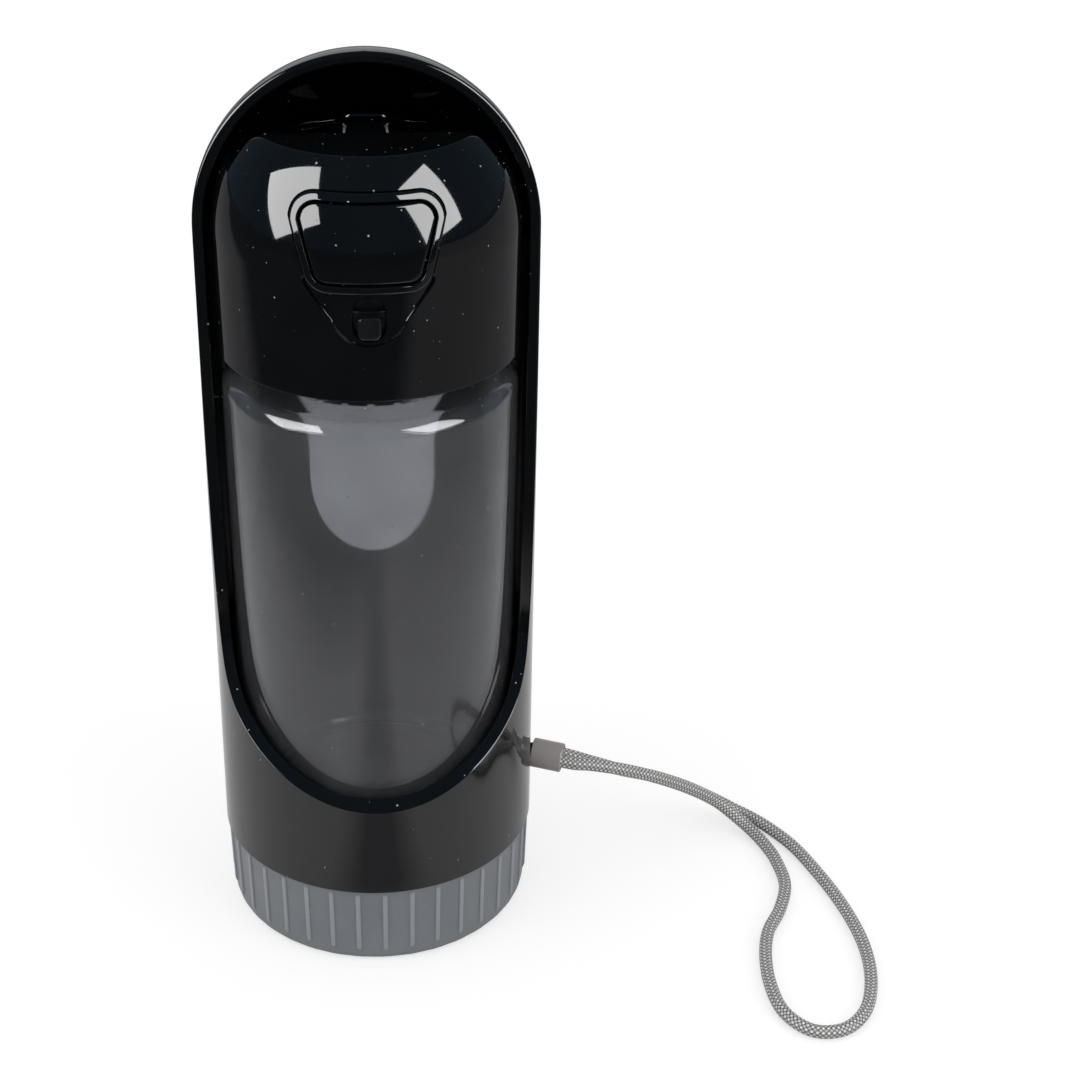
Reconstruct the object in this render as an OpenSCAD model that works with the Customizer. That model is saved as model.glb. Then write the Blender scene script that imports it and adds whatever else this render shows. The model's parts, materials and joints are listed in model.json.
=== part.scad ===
// Travel water bottle for a dog, with a scoop-topped shell that slides up into a drinking trough.
// The origin is the centre of the base where it stands, +Z is up and the button faces -Y.

/* [Trough shell] */
// Outer radius of the shell and its dome
shell_r = 38; // [37:0.5:42]
// Wall thickness of the shell
shell_wall = 2.5; // [2:0.1:3]
// Height of the top of the dome
shell_top = 213.5; // [210:0.5:230]
// Height of the lip at the front of the shell
lip_z = 45.3; // [36:0.1:60]
// Slope of the front cut, from level
slope_deg = 41; // [30:1:50]
// Backward lean of the long sides of the front cut
rim_lean_deg = 4.5; // [3:0.5:6]
// Radius of the bend between the slope and the long sides
rim_bend_r = 35; // [20:1:45]
// Width of the slot in the back of the shell
slot_w = 32; // [26:1:34]
// Height of the lower end of the slot
slot_low_z = 73.7; // [66:0.1:80]
// Height of the curved lower end of the slot
slot_tip_h = 24; // [14:1:28]
// How far the guide rails stand off the wall
rail_depth = 1.2; // [0.8:0.1:1.3]
// Width of a guide rail
rail_w = 2.4; // [2:0.2:4]

/* [Base] */
// Height of the seam between the base and the shell
seam_z = 21.8; // [20:0.2:26]
// How far the base is set in from the shell, under the seam
base_step = 0.8; // [0.6:0.1:1.2]
// How much narrower the base is at the bottom than under the seam
foot_taper = 0.6; // [0.2:0.1:1.2]
// Number of grip ribs round the base
rib_count = 36; // [24:1:40]
// Width of a grip rib
rib_w = 1.2; // [0.8:0.1:1.6]
// How far a grip rib stands out
rib_depth = 0.45; // [0.3:0.05:0.6]
// Thickness of the floor of the base
base_floor = 2.5; // [2:0.1:3.5]
// Height of the spigot that centres the shell
spigot_h = 4; // [3:0.5:5]

/* [Bottle] */
// Gap between the shell's wall and the bottle
bottle_gap = 2; // [1.9:0.1:2.4]
// Wall thickness of the bottle
bottle_wall = 1.6; // [1.2:0.1:2]
// Width of the bottle's shoulder, from the side to the neck
shoulder_w = 10.9; // [10.5:0.1:11.7]
// How far the thread stands off the neck
thread_h = 0.7; // [0.5:0.1:0.9]
// Radius of the curve at the bottle's shoulder
shoulder_r = 4; // [3:0.5:6]

/* [Head] */
// Height of the head below the lock's slot
head_skirt = 13.5; // [12.5:0.1:15]
// From the ridge of the head's raised front up to the top of the shell's dome
ridge_drop = 14.4; // [13.5:0.1:15.5]
// Where the raised front of the head ends, behind the button
visor_y = -8.5; // [-11:0.5:-7]
// From the level back of the head up to the top of the shell's dome
back_drop = 23; // [21.5:0.1:24]
// Gap between the shell's wall and the head
head_gap = 1.5; // [1.4:0.1:1.8]
// Wall thickness of the head
head_wall = 2; // [1.6:0.1:2.2]
// How deep the drain deck is set into the head
deck_drop = 0.8; // [0.5:0.1:1.4]
// Width of the oval water spout
spout_w = 13.6; // [12:0.2:15]
// Depth of the oval water spout
spout_d = 7.8; // [7.4:0.1:8.6]
// Height of the spout above the deck
spout_h = 5.3; // [4:0.1:6.5]
// Radius of the water way
water_r = 3.6; // [3:0.1:3.8]

/* [Button and lock] */
// From the middle of the button up to the top of the shell's dome
button_drop = 30.5; // [30.1:0.1:30.9]
// Half width of the button near its top
button_top_w = 14; // [13:0.1:14.5]
// Half width of the button near its bottom
button_low_w = 11.4; // [10:0.1:12]
// Height of the button
button_h = 16; // [15.4:0.1:16.4]
// Width of the raised frame round the button
bezel_w = 1.7; // [1.4:0.1:2]
// How far the button travels
button_travel = 2; // [1:0.1:2.2]
// Width of the lock's slot
lock_slot_w = 6.9; // [6:0.1:7.6]
// Height of the lock's slot
lock_slot_h = 9.9; // [9.4:0.1:10.4]
// Height of the lock's knob
knob_h = 5.2; // [4.6:0.1:5.6]

/* [Valve] */
// Radius of the valve's seat bore
seat_r = 6; // [5:0.1:6.4]
// Radius of the valve's stem
stem_r = 1.5; // [1.2:0.1:1.7]
// Radius of the crank's pin
pin_r = 1.5; // [1.2:0.1:1.7]
// Wire thickness of the valve spring
spring_wire = 0.8; // [0.6:0.1:0.9]
// Turns of the valve spring
spring_turns = 4; // [3:1:5]

/* [Lanyard] */
// Diameter of the cord
cord_d = 3.2; // [2.8:0.1:3.3]
// Height of the ferrule on the shell's side
ferrule_z = 35; // [34:0.1:36]
// Outer radius of the ferrule
ferrule_r = 3.65; // [3.6:0.05:4]
// Length of the ferrule
ferrule_l = 7; // [6.8:0.1:7.2]

/* [Hidden] */
$fn = 96;

// Clearances: loose between sliding pieces, seat between resting pieces, run round a pin.
loose = 0.3;
seat = 0.3;
run = 0.05;
eps = 0.01;

// Cuts reach this far out, and those in the front or back of a round wall start at half_y.
far = 80;
half_y = 12;

// Shell.
bore_r = shell_r - shell_wall;
dome_z = shell_top - shell_r;
rim_top_z = shell_top - 8.5;
rail_r = bore_r - rail_depth;
slot_corner_r = 6;

// Base.
spigot_r = bore_r - 0.4;
spigot_wall = 1.3;
base_r = shell_r - base_step;
foot_r = base_r - foot_taper;
base_wall = 2.8;
store_r = foot_r - base_wall;
land_h = 6;
gasket_h = 1.2;
foot_round = 2.5;

// Heights in the head, from the top of the dome down.
ridge_z = shell_top - ridge_drop;
back_z = shell_top - back_drop;
button_z = shell_top - button_drop;
button_top = button_z + button_h / 2;
button_low = button_z - button_h / 2;
lock_low = button_low - 13.1;
head_z = lock_low - head_skirt;

// Bottle, and the land in the base that it stands on.
bottle_r = bore_r - bottle_gap;
neck_r = bottle_r - shoulder_w;
land_r = bottle_r - 2.4;
bottle_z = seam_z + gasket_h + seat;
skirt_r = land_r - loose;
skirt_h = 6;
shoulder_z = head_z - 5.8;
neck_slope = 0.6;
neck_top = head_z + 6.6;
neck_bore = neck_r - 2;

// Collar and valve.
collar_bore = neck_r + thread_h + loose;
collar_r = collar_bore + 1.8;
collar_z = shoulder_z + neck_slope + seat;
collar_ribs = 28;
groove_w = 1.5;
groove_deep = 0.9;
head_r = bore_r - head_gap;
head_bore = head_r - head_wall;
flange_z = head_z + 2.1;
flange_h = 2;
flange_r = head_bore - 2 * loose;
seal_h = 1.2;
shelf_z = neck_top + seal_h + seat;
shelf_h = 2;
shelf_bore = neck_bore - 1.6;
disc_z = shelf_z + shelf_h;
disc_h = 2;
disc_r = collar_r - 2.4;
valve_y = 4;
tube_wall = 3;
tube_z = head_z + 0.6;
chamber_y = 6;
chamber_r = 14;
chamber_wall = 1.8;
roof_z = disc_z + disc_h + 6;
roof_h = 2;
roof_top = roof_z + roof_h;
riser_y = 14;
riser_r = water_r + 1.4;
poppet_r = seat_r + 2;
poppet_h = 1.6;
rubber_h = 1;
gland_r = stem_r + 1.1;
vent_y = 7.2 - disc_r;
vent_r = 1.4;

// Crank: the button pushes its front bar back, and its rear bar pushes the stem down.
bar_r = 1.5;
pivot_deep = 17;
front_bar_deep = 9;
front_bar_up = 12;
rear_bar_up = 6;
stem_free = 10.7;
rear_bar = [valve_y, roof_top + stem_free + seat + bar_r];
pivot = [pivot_deep - head_r, rear_bar[1] - rear_bar_up];
front_bar = [front_bar_deep - head_r, pivot[1] + front_bar_up];
arm_t = 3;
hub_r = 3.2;
cap_r = 4.2;
arm_in = cap_r + 2.1;
arm_w = 2.2;
arm_out = arm_in + arm_w;
lug_w = 2;
lug_in = arm_out + 0.4;
lug_r = 4.2;
lug_front = 3.4;
lug_back = 5;
cap_h = 1.5;
cap_top = rear_bar[1] - bar_r - seat;

// Deck, and the round of the raised front's upper corners.
deck_t = 1.2;
deck_rim = 3;
deck_r = sqrt(pow(head_r, 2) - pow(back_z - dome_z, 2)) - deck_rim;
deck_top = back_z - deck_drop;
ledge = 1.4;
visor_round = 6;
spout_wall = 1.2;

// Button, frame and lock.
button_gap = 0.4;
face_proud = 0.35;
face_t = 1.8;
button_skirt = 1.2;
bezel_lap = 0.9;
bezel_top = button_top + button_gap + bezel_w;
bezel_back = bezel_lap - sqrt(pow(head_r, 2) - pow(bezel_top - dome_z, 2) - pow(button_top_w, 2));
skirt_y = bezel_back - button_travel;
bezel_flange = 1.2;
flange_t = 1.3;
bezel_proud = 0.6;
corner_top = 3.8;
corner_low = 2.8;
shield_z = button_low - 13.9;
shield_r = 8.4;
shield_deep = 0.8;
knob_w = 5;
knob_z = lock_low + 0.7;
lock_travel = lock_slot_h - knob_h - 1.4;
plate_w = 11;
plate_low = knob_z - 4;
plate_h = button_low - button_gap - bezel_w - bezel_flange - seat - lock_travel - plate_low;
plate_out = head_bore - loose;
plate_in = plate_out - 1.3;
keeper_w = 16.4;

// Guide key in the back slot.
slot_top_z = head_z + 24;
key_low = head_z + 0.6;
key_top = slot_top_z - loose - 0.5;
key_w = slot_w - 2 * loose;
peg_r = 2;
peg_l = 5;
peg_z = [head_z + 7, head_z + 17];
key_corner = 5;

// Screws that hold the collar's flange to the head.
screw_ring = flange_r - 2.6;
screw_r = 1.5;
screw_l = 12;
screw_cross = 3.6;
screw_slit = 0.8;
boss_r = 3;
boss_top = flange_z + 18;

// Ferrule, turned towards the front and a little down, and the stub that carries it.
ferrule_x = shell_r + 1.4;
ferrule_turn = 16;
ferrule_tilt = 5;
anchor_r = 2.4;
pocket_deep = 1.5;
pair = 3.5;

// The cord's two ends lie side by side in the ferrule, with the loop on the ground between them.
cord_sides = 8;
cord_points = [[45.2, 0.2, 34.5], [49.6, -0.1, 33.1], [54, 0.6, 31], [62, 2.8, 26.7], [71, 7.4, 21.2],
    [80.6, 13.4, 13.4], [89.8, 17.2, 5.9], [94.4, 17, 3.1], [98.6, 14.8, 1.9], [102.8, 10, 1.65],
    [107.2, 2.9, 1.65], [110.6, -5.4, 1.65], [115, -19.6, 1.65], [117.6, -33.2, 1.65], [118, -44.6, 1.65],
    [116.4, -55, 1.65], [113, -63.4, 1.65], [107, -68.8, 1.65], [99.6, -68.6, 1.65], [94.2, -62, 1.65],
    [92.6, -52, 1.65], [93.2, -41.6, 1.65], [95.4, -32.4, 1.65], [99.8, -23.8, 1.65], [102.8, -14, 1.65],
    [102.2, -4, 1.65], [100.6, 2.4, 1.7], [98.2, 7.8, 2.1], [95, 11.4, 3.6], [88.6, 12.8, 8.8],
    [79.9, 8.5, 16.6], [70.2, 2.6, 24.5], [61.2, -1.6, 30], [53.2, -3.4, 32.9], [49, -3.9, 33.7],
    [44.3, -3.3, 34.5]];

// ---- Small helpers ----

// Points of an arc about c, from angle a0 to a1 in n steps.
function arc(c, r, a0, a1, n) = [for (i = [0:n]) let (a = a0 + (a1 - a0) * i / n) c + r * [cos(a), sin(a)]];

// Points of a quarter or half ellipse about c with half axes a and b.
function ellipse_arc(c, a, b, a0, a1, n) =
    [for (i = [0:n]) let (t = a0 + (a1 - a0) * i / n) [c[0] + a * cos(t), c[1] + b * sin(t)]];

// Rounded trapezoid in the X-Z plane, grown outward by g.
function trapezoid(g) = concat(
    arc([button_top_w - corner_top, button_top - corner_top], corner_top + g, 6, 90, 8),
    arc([corner_top - button_top_w, button_top - corner_top], corner_top + g, 90, 174, 8),
    arc([corner_low - button_low_w, button_low + corner_low], corner_low + g, 186, 270, 8),
    arc([button_low_w - corner_low, button_low + corner_low], corner_low + g, 270, 354, 8));

// Slot with round ends, w wide and from z0 to z1.
function stadium(w, z0, z1) = concat(
    arc([0, z1 - w / 2], w / 2, 0, 180, 16),
    arc([0, z0 + w / 2], w / 2, 180, 360, 16));

// A ring between two radii, tall enough for the whole part.
module tube_space(r_out, r_in, z0 = 0, z1 = 230) {
    difference() {
        translate([0, 0, z0]) cylinder(r = r_out, h = z1 - z0);
        translate([0, 0, z0 - 1]) cylinder(r = r_in, h = z1 - z0 + 2);
    }
}

// Extrudes an X-Z outline forward from y0 to y1.
module prism_y(points, y0, y1) {
    translate([0, y1, 0]) rotate([90, 0, 0]) linear_extrude(y1 - y0) polygon(points);
}

// Extrudes a Y-Z outline along X, from x0 to x1.
module prism_x(points, x0, x1) {
    translate([x0, 0, 0]) rotate([90, 0, 90]) linear_extrude(x1 - x0) polygon(points);
}

// Cylinder along X through a point given as [y, z].
module rod_x(p, r, x0, x1) {
    translate([x0, p[0], p[1]]) rotate([0, 90, 0]) cylinder(r = r, h = x1 - x0);
}

// Least gap that a tube of diameter d leaves to itself, on points more than skip apart.
function least_gap(line, skip, d) =
    min([for (i = [0:len(line) - 1]) for (j = [i + skip:1:len(line) - 1]) norm(line[i] - line[j]) - d]);

// Flat bar between two [y, z] points, w wide, from x0 to x1.
module bar_x(p, q, w, x0, x1) {
    d = q - p;
    length = norm(d);
    translate([x0, p[0], p[1]]) rotate([atan2(d[1], d[0]), 0, 0])
        translate([0, 0, -w / 2]) cube([x1 - x0, length, w]);
}

// ---- Base ----

module base_cup() {
    foot = arc([foot_r - foot_round, foot_round], foot_round, -90, 0, 8);
    color("#6f7276") difference() {
        union() {
            rotate_extrude() polygon(concat([[0, 0]], foot,
                [[base_r, seam_z - 0.6], [base_r - 0.5, seam_z], [0, seam_z]]));
            translate([0, 0, seam_z - 1]) cylinder(r = spigot_r, h = spigot_h + 1);
            for (i = [0:rib_count - 1])
                rotate([0, 0, 1.6 + i * 360 / rib_count])
                    translate([-rib_w / 2, -base_r - rib_depth, foot_round + 1])
                        cube([rib_w, rib_depth + 1.4, seam_z - foot_round - 2.2]);
        }
        translate([0, 0, base_floor]) cylinder(r = store_r, h = seam_z - land_h - base_floor);
        translate([0, 0, base_floor]) cylinder(r = land_r, h = seam_z);
        translate([0, 0, seam_z]) cylinder(r = spigot_r - spigot_wall, h = spigot_h + 1);
    }
}

module base_gasket() {
    color("#1b1b1c") difference() {
        translate([0, 0, seam_z]) cylinder(r = bottle_r - 0.2, h = gasket_h);
        translate([0, 0, seam_z - 1]) cylinder(r = land_r + 0.4, h = gasket_h + 2);
    }
}

// ---- Bottle ----

module bottle() {
    outer = concat(
        [[skirt_r, bottle_z - skirt_h], [skirt_r, bottle_z]],
        arc([bottle_r - 1.2, bottle_z + 1.2], 1.2, -90, 0, 4),
        arc([bottle_r - shoulder_r, shoulder_z - shoulder_r], shoulder_r, 0, 90, 10),
        [[neck_r, shoulder_z + neck_slope], [neck_r, head_z - 1.6], [neck_r + thread_h, head_z - 1],
            [neck_r + thread_h, head_z - 0.2], [neck_r, head_z + 0.4], [neck_r, head_z + 2.2],
            [neck_r + thread_h, head_z + 2.8], [neck_r + thread_h, head_z + 3.6],
            [neck_r, head_z + 4.2], [neck_r, neck_top]]);
    in_r = bottle_r - bottle_wall;
    in_top = shoulder_z - bottle_wall;
    in_round = shoulder_r - 1;
    inner = concat(
        [[neck_bore, neck_top], [neck_bore, in_top + 0.5]],
        arc([in_r - in_round, in_top - in_round], in_round, 90, 0, 10),
        arc([in_r - 4, bottle_z + 6], 4, 0, -90, 8),
        [[0, bottle_z + 3.2], [0, bottle_z + 1.2], [skirt_r - 4, bottle_z],
            [skirt_r - 1.8, bottle_z - 0.6], [skirt_r - 1.8, bottle_z - skirt_h]]);
    color([0.25, 0.26, 0.28, 0.45]) rotate_extrude() polygon(concat(outer, inner));
}

// ---- Collar, seals and valve ----

module neck_collar() {
    color("#151617") difference() {
        union() {
            translate([0, 0, collar_z]) cylinder(r = collar_r, h = disc_z - collar_z);
            translate([0, 0, flange_z]) cylinder(r = flange_r, h = flange_h);
        }
        translate([0, 0, collar_z - 1]) cylinder(r = collar_bore, h = shelf_z - collar_z + 1);
        cylinder(r = shelf_bore, h = disc_z + 1);
        for (i = [0:collar_ribs - 1])
            rotate([0, 0, i * 360 / collar_ribs])
                translate([-groove_w / 2, -collar_r - 1, collar_z - 1])
                    cube([groove_w, groove_deep + 1, flange_z - collar_z]);
        for (i = [0:3])
            rotate([0, 0, 45 + i * 90]) translate([screw_ring, 0, flange_z - 1])
                cylinder(r = screw_r + 0.2, h = flange_h + 2);
    }
}

module neck_seal() {
    color("#c9ccd0") difference() {
        translate([0, 0, neck_top]) cylinder(r = neck_r + 0.3, h = seal_h);
        translate([0, 0, neck_top - 1]) cylinder(r = neck_bore + 0.2, h = seal_h + 2);
    }
}

// Lug that carries the crank's pin, on one side.
module crank_lug(x0) {
    translate([x0, pivot[0] - lug_front, disc_z + disc_h - 1])
        cube([lug_w, lug_front + lug_back, pivot[1] - disc_z - disc_h + 1]);
    rod_x(pivot + [(lug_back - lug_front) / 2, 0], lug_r, x0, x0 + lug_w);
}

module valve_body() {
    color("#232527") difference() {
        union() {
            translate([0, 0, disc_z]) cylinder(r = disc_r, h = disc_h);
            translate([0, valve_y, tube_z]) cylinder(r = seat_r + tube_wall, h = disc_z - tube_z + 1);
            translate([0, chamber_y, disc_z]) cylinder(r = chamber_r, h = roof_top - disc_z);
            crank_lug(lug_in);
            crank_lug(-lug_in - lug_w);
        }
        translate([0, valve_y, tube_z - 1]) cylinder(r = seat_r, h = roof_z - tube_z);
        translate([0, chamber_y, disc_z + disc_h])
            cylinder(r = chamber_r - chamber_wall, h = roof_z - disc_z - disc_h);
        translate([0, riser_y, roof_z - 1]) cylinder(r = riser_r + run, h = roof_h + 2);
        translate([0, valve_y, roof_z - 1]) cylinder(r = gland_r + run, h = roof_h + 2);
        translate([0, vent_y, disc_z - 1]) cylinder(r = vent_r + 0.1, h = disc_h + 2);
        rod_x(pivot, pin_r + run, -far, far);
    }
}

module stem_gland() {
    color("#8d2f2a") difference() {
        translate([0, valve_y, roof_z]) cylinder(r = gland_r, h = roof_h);
        translate([0, valve_y, roof_z - 1]) cylinder(r = stem_r + run, h = roof_h + 2);
    }
}

module valve_stem() {
    poppet_z = tube_z - seat - rubber_h - poppet_h;
    color("#b9bcc0") union() {
        translate([0, valve_y, poppet_z]) cylinder(r = poppet_r, h = poppet_h);
        translate([0, valve_y, poppet_z]) cylinder(r = stem_r, h = cap_top - poppet_z);
        translate([0, valve_y, cap_top - cap_h]) cylinder(r = cap_r, h = cap_h);
    }
}

module valve_seal() {
    color("#8d2f2a") difference() {
        translate([0, valve_y, tube_z - seat - rubber_h]) cylinder(r = poppet_r - 0.2, h = rubber_h);
        translate([0, valve_y, tube_z - seat - rubber_h - 1]) cylinder(r = stem_r + run, h = rubber_h + 2);
    }
}

// Coil of the valve spring, as one tube swept along a helix.
module valve_spring() {
    z0 = roof_top + 0.4 + spring_wire / 2;
    z1 = cap_top - cap_h - 0.4 - spring_wire / 2;
    coil_r = stem_r + 0.6 + spring_wire;
    steps = spring_turns * 8;
    rings = [for (i = [0:steps]) let (a = 360 * spring_turns * i / steps)
        [for (k = [0:5]) let (b = 60 * k, d = coil_r + spring_wire / 2 * cos(b))
            [d * cos(a), valve_y + d * sin(a), z0 + (z1 - z0) * i / steps + spring_wire / 2 * sin(b)]]];
    centres = [for (i = [0:steps]) let (a = 360 * spring_turns * i / steps)
        [coil_r * cos(a), coil_r * sin(a), z0 + (z1 - z0) * i / steps]];
    echo(spring_gap = least_gap(centres, 5, spring_wire));
    color("#c8cbd0") polyhedron(points = [for (r = rings) for (p = r) p], faces = tube_faces(steps + 1, 6));
}

module vent_valve() {
    color("#c9ccd0") union() {
        translate([0, vent_y, disc_z - 1.1]) cylinder(r = vent_r + 1.3, h = 1);
        translate([0, vent_y, disc_z - 1.1]) cylinder(r = vent_r, h = disc_h + 1.6);
        translate([0, vent_y, disc_z + disc_h + 0.1]) cylinder(r = vent_r + 0.6, h = 0.8);
    }
}

// Oval outline of the spout, shrunk by g.
module spout_oval(g) {
    half = (spout_w - spout_d) / 2;
    r = spout_d / 2 - g;
    union() {
        for (x = [-half, half])
            translate([x, 0]) circle(r = r);
        translate([-half, -r]) square([2 * half, 2 * r]);
    }
}

module outlet_nozzle() {
    lip = 0.5;
    color("#101112") translate([0, riser_y, 0]) difference() {
        union() {
            translate([0, 0, roof_z]) cylinder(r = riser_r, h = deck_top - roof_z + 0.5);
            translate([0, 0, deck_top]) linear_extrude(spout_h - lip) spout_oval(0);
            translate([0, 0, deck_top]) linear_extrude(spout_h) spout_oval(lip / 2);
        }
        translate([0, 0, roof_z - 1]) cylinder(r = water_r, h = deck_top - roof_z + 1);
        translate([0, 0, deck_top - eps]) linear_extrude(far) spout_oval(spout_wall);
    }
}

module bell_crank() {
    color("#d6d8da") difference() {
        union() {
            for (x0 = [arm_in, -arm_out]) {
                bar_x(pivot, front_bar, arm_t, x0, x0 + arm_w);
                bar_x(pivot, rear_bar, arm_t, x0, x0 + arm_w);
                rod_x(pivot, hub_r, x0, x0 + arm_w);
            }
            rod_x(front_bar, bar_r, -arm_out, arm_out);
            rod_x(rear_bar, bar_r, -arm_out, arm_out);
        }
        rod_x(pivot, pin_r + run, -far, far);
    }
}

module crank_pin() {
    color("#c8cbd0") rod_x(pivot, pin_r, -lug_in - lug_w, lug_in + lug_w);
}

// ---- Head ----

// Side outline of the raised front, shrunk by g: level at the ridge, with rounded corners.
function visor_outline(g) =
    let (rim_r = sqrt(pow(head_r, 2) - pow(visor_y, 2)), up = ridge_z - visor_round - dome_z)
    let (centre = [sqrt(pow(rim_r - visor_round, 2) - up * up), dome_z + up])
    let (a = atan2(up, centre[0]), r = visor_round - g)
    let (foot = centre + r * [cos(a), sin(a)] + head_r * [sin(a), -cos(a)])
    concat(
        [[foot[0], head_z - 2], foot],
        arc(centre, r, a, 90, 8),
        arc([-centre[0], centre[1]], r, 90, 180 - a, 8),
        [[-foot[0], foot[1]], [-foot[0], head_z - 2]]);

// Outer form of the head shrunk by g: a drum under a dome, level behind its raised front.
module head_form(g) {
    intersection() {
        capsule(head_r - g, head_z - 1);
        union() {
            translate([0, 0, head_z - 2]) cylinder(r = head_r + 1, h = back_z - g - head_z + 2);
            prism_y(visor_outline(g), -far, visor_y - g);
        }
    }
}

// Outline of the drain deck, shrunk by g: round at the back, straight behind the raised front.
module deck_outline(g) {
    intersection() {
        circle(r = deck_r - g);
        translate([-far, visor_y + ledge + 0.2 + g]) square([2 * far, far]);
    }
}

module head_housing() {
    deck_under = deck_top - deck_t;
    boss_h = boss_top - flange_z - flange_h;
    shield = concat(
        arc([0, shield_z + shield_r], shield_r, 200, 340, 12),
        [[button_low_w + 2.2, button_low + 1], [-button_low_w - 2.2, button_low + 1]]);
    color("#0b0c0e") difference() {
        union() {
            difference() {
                intersection() {
                    head_form(0);
                    translate([0, 0, head_z]) cylinder(r = far, h = far);
                }
                head_form(head_wall);
            }
            intersection() {
                head_form(0.5);
                for (i = [0:3])
                    rotate([0, 0, 45 + i * 90]) translate([0, 0, flange_z + flange_h]) {
                        translate([screw_ring, 0, 0]) cylinder(r = boss_r, h = boss_h);
                        translate([screw_ring, -1, 0]) cube([6, 2, boss_h]);
                    }
            }
            intersection() {
                head_form(0.5);
                translate([0, 0, deck_under - ledge]) linear_extrude(ledge + 0.6) deck_outline(-ledge);
            }
        }
        prism_y(trapezoid(button_gap + bezel_w + 0.1), -far, -half_y);
        intersection() {
            tube_space(far, head_r - shield_deep);
            prism_y(shield, -far, -half_y);
        }
        prism_y(stadium(lock_slot_w, lock_low, lock_low + lock_slot_h), -far, -half_y);
        translate([0, 0, deck_under]) linear_extrude(far) deck_outline(0);
        translate([0, 0, deck_under - ledge - 1]) linear_extrude(far) deck_outline(ledge);
        for (z = peg_z)
            translate([0, half_y, z]) rotate([-90, 0, 0]) cylinder(r = peg_r + run, h = far);
        for (i = [0:3])
            rotate([0, 0, 45 + i * 90]) translate([screw_ring, 0, flange_z])
                cylinder(r = screw_r + run, h = screw_l + 2);
    }
}

module deck_plate() {
    color("#121315") difference() {
        translate([0, 0, deck_top - deck_t]) linear_extrude(deck_t) deck_outline(0.15);
        translate([0, riser_y, deck_top - far]) cylinder(r = riser_r + 0.1, h = 2 * far);
    }
}

module button_bezel() {
    flange_out = head_bore - loose;
    color("#141518") difference() {
        union() {
            intersection() {
                capsule(head_r + bezel_proud, head_z);
                prism_y(trapezoid(button_gap + bezel_w), -far, bezel_back);
            }
            intersection() {
                difference() {
                    capsule(flange_out, head_z);
                    capsule(flange_out - flange_t, head_z - 1);
                }
                prism_y(trapezoid(button_gap + bezel_w + bezel_flange), -far, visor_y - head_wall - 1);
            }
        }
        prism_y(trapezoid(button_gap), -far, 0);
    }
}

module press_button() {
    boss_end = front_bar[0] - bar_r - seat;
    color("#0b0c0e") difference() {
        intersection() {
            capsule(head_r + face_proud, head_z);
            prism_y(trapezoid(0), -far, skirt_y);
        }
        intersection() {
            capsule(head_r - face_t, head_z - 1);
            prism_y(trapezoid(-button_skirt), -far, 0);
        }
    }
    color("#0b0c0e") intersection() {
        capsule(head_r - face_t + 0.6, head_z);
        translate([0, boss_end, front_bar[1]]) rotate([90, 0, 0]) cylinder(r = 2.6, h = far);
    }
}

module lock_slider() {
    mid = knob_z + knob_h / 2;
    corner = 1.4;
    knob = concat(
        arc([knob_w / 2 - corner, mid + knob_h / 2 - corner], corner, 0, 90, 5),
        arc([corner - knob_w / 2, mid + knob_h / 2 - corner], corner, 90, 180, 5),
        arc([corner - knob_w / 2, mid - knob_h / 2 + corner], corner, 180, 270, 5),
        arc([knob_w / 2 - corner, mid - knob_h / 2 + corner], corner, 270, 360, 5));
    color("#1d1f22") union() {
        intersection() {
            tube_space(plate_out, plate_in);
            translate([-plate_w / 2, -far, plate_low]) cube([plate_w, far, plate_h]);
        }
        intersection() {
            tube_space(head_r + 0.5, plate_in + 0.3);
            prism_y(knob, -far, -half_y);
        }
    }
}

module slider_keeper() {
    keeper_in = plate_in - loose - 1.4;
    color("#232527") difference() {
        intersection() {
            tube_space(head_bore - 0.1, keeper_in);
            translate([-keeper_w / 2, -far, plate_low - 1.6]) cube([keeper_w, far, plate_h + 4]);
        }
        intersection() {
            tube_space(far, plate_in - loose);
            translate([-plate_w / 2 - loose, -far, plate_low - loose]) cube([plate_w + 2 * loose, far, far]);
        }
    }
}

module head_screws() {
    color("#9a9da2") for (i = [0:3])
        rotate([0, 0, 45 + i * 90]) translate([screw_ring, 0, 0]) difference() {
            union() {
                translate([0, 0, flange_z - 1.5]) cylinder(r1 = 2.2, r2 = 2.6, h = 1.5);
                translate([0, 0, flange_z - 0.2]) cylinder(r = screw_r, h = screw_l);
            }
            for (a = [0, 90])
                rotate([0, 0, a]) translate([-screw_slit / 2, -screw_cross / 2, flange_z - 2])
                    cube([screw_slit, screw_cross, 1.2]);
        }
}

// Rounded plate in the slot, with two pegs into the back of the head.
module guide_key() {
    side = key_w / 2 - key_corner;
    pad = concat(
        arc([side, key_top - key_corner], key_corner, 0, 90, 6),
        arc([-side, key_top - key_corner], key_corner, 90, 180, 6),
        arc([-side, key_low + key_corner], key_corner, 180, 270, 6),
        arc([side, key_low + key_corner], key_corner, 270, 360, 6));
    color("#151617") union() {
        intersection() {
            tube_space(shell_r - 0.4, head_r + loose);
            prism_y(pad, half_y, far);
        }
        for (z = peg_z)
            translate([0, head_bore - 1.4, z]) rotate([-90, 0, 0]) cylinder(r = peg_r, h = peg_l);
    }
}

// ---- Trough shell ----

// Capsule of radius r that stands on the seam, closed by the dome.
module capsule(r, z0) {
    translate([0, 0, z0]) cylinder(r = r, h = dome_z - z0);
    intersection() {
        translate([0, 0, dome_z]) sphere(r = r);
        translate([0, 0, dome_z]) cylinder(r = r + 1, h = r + 1);
    }
}

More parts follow.
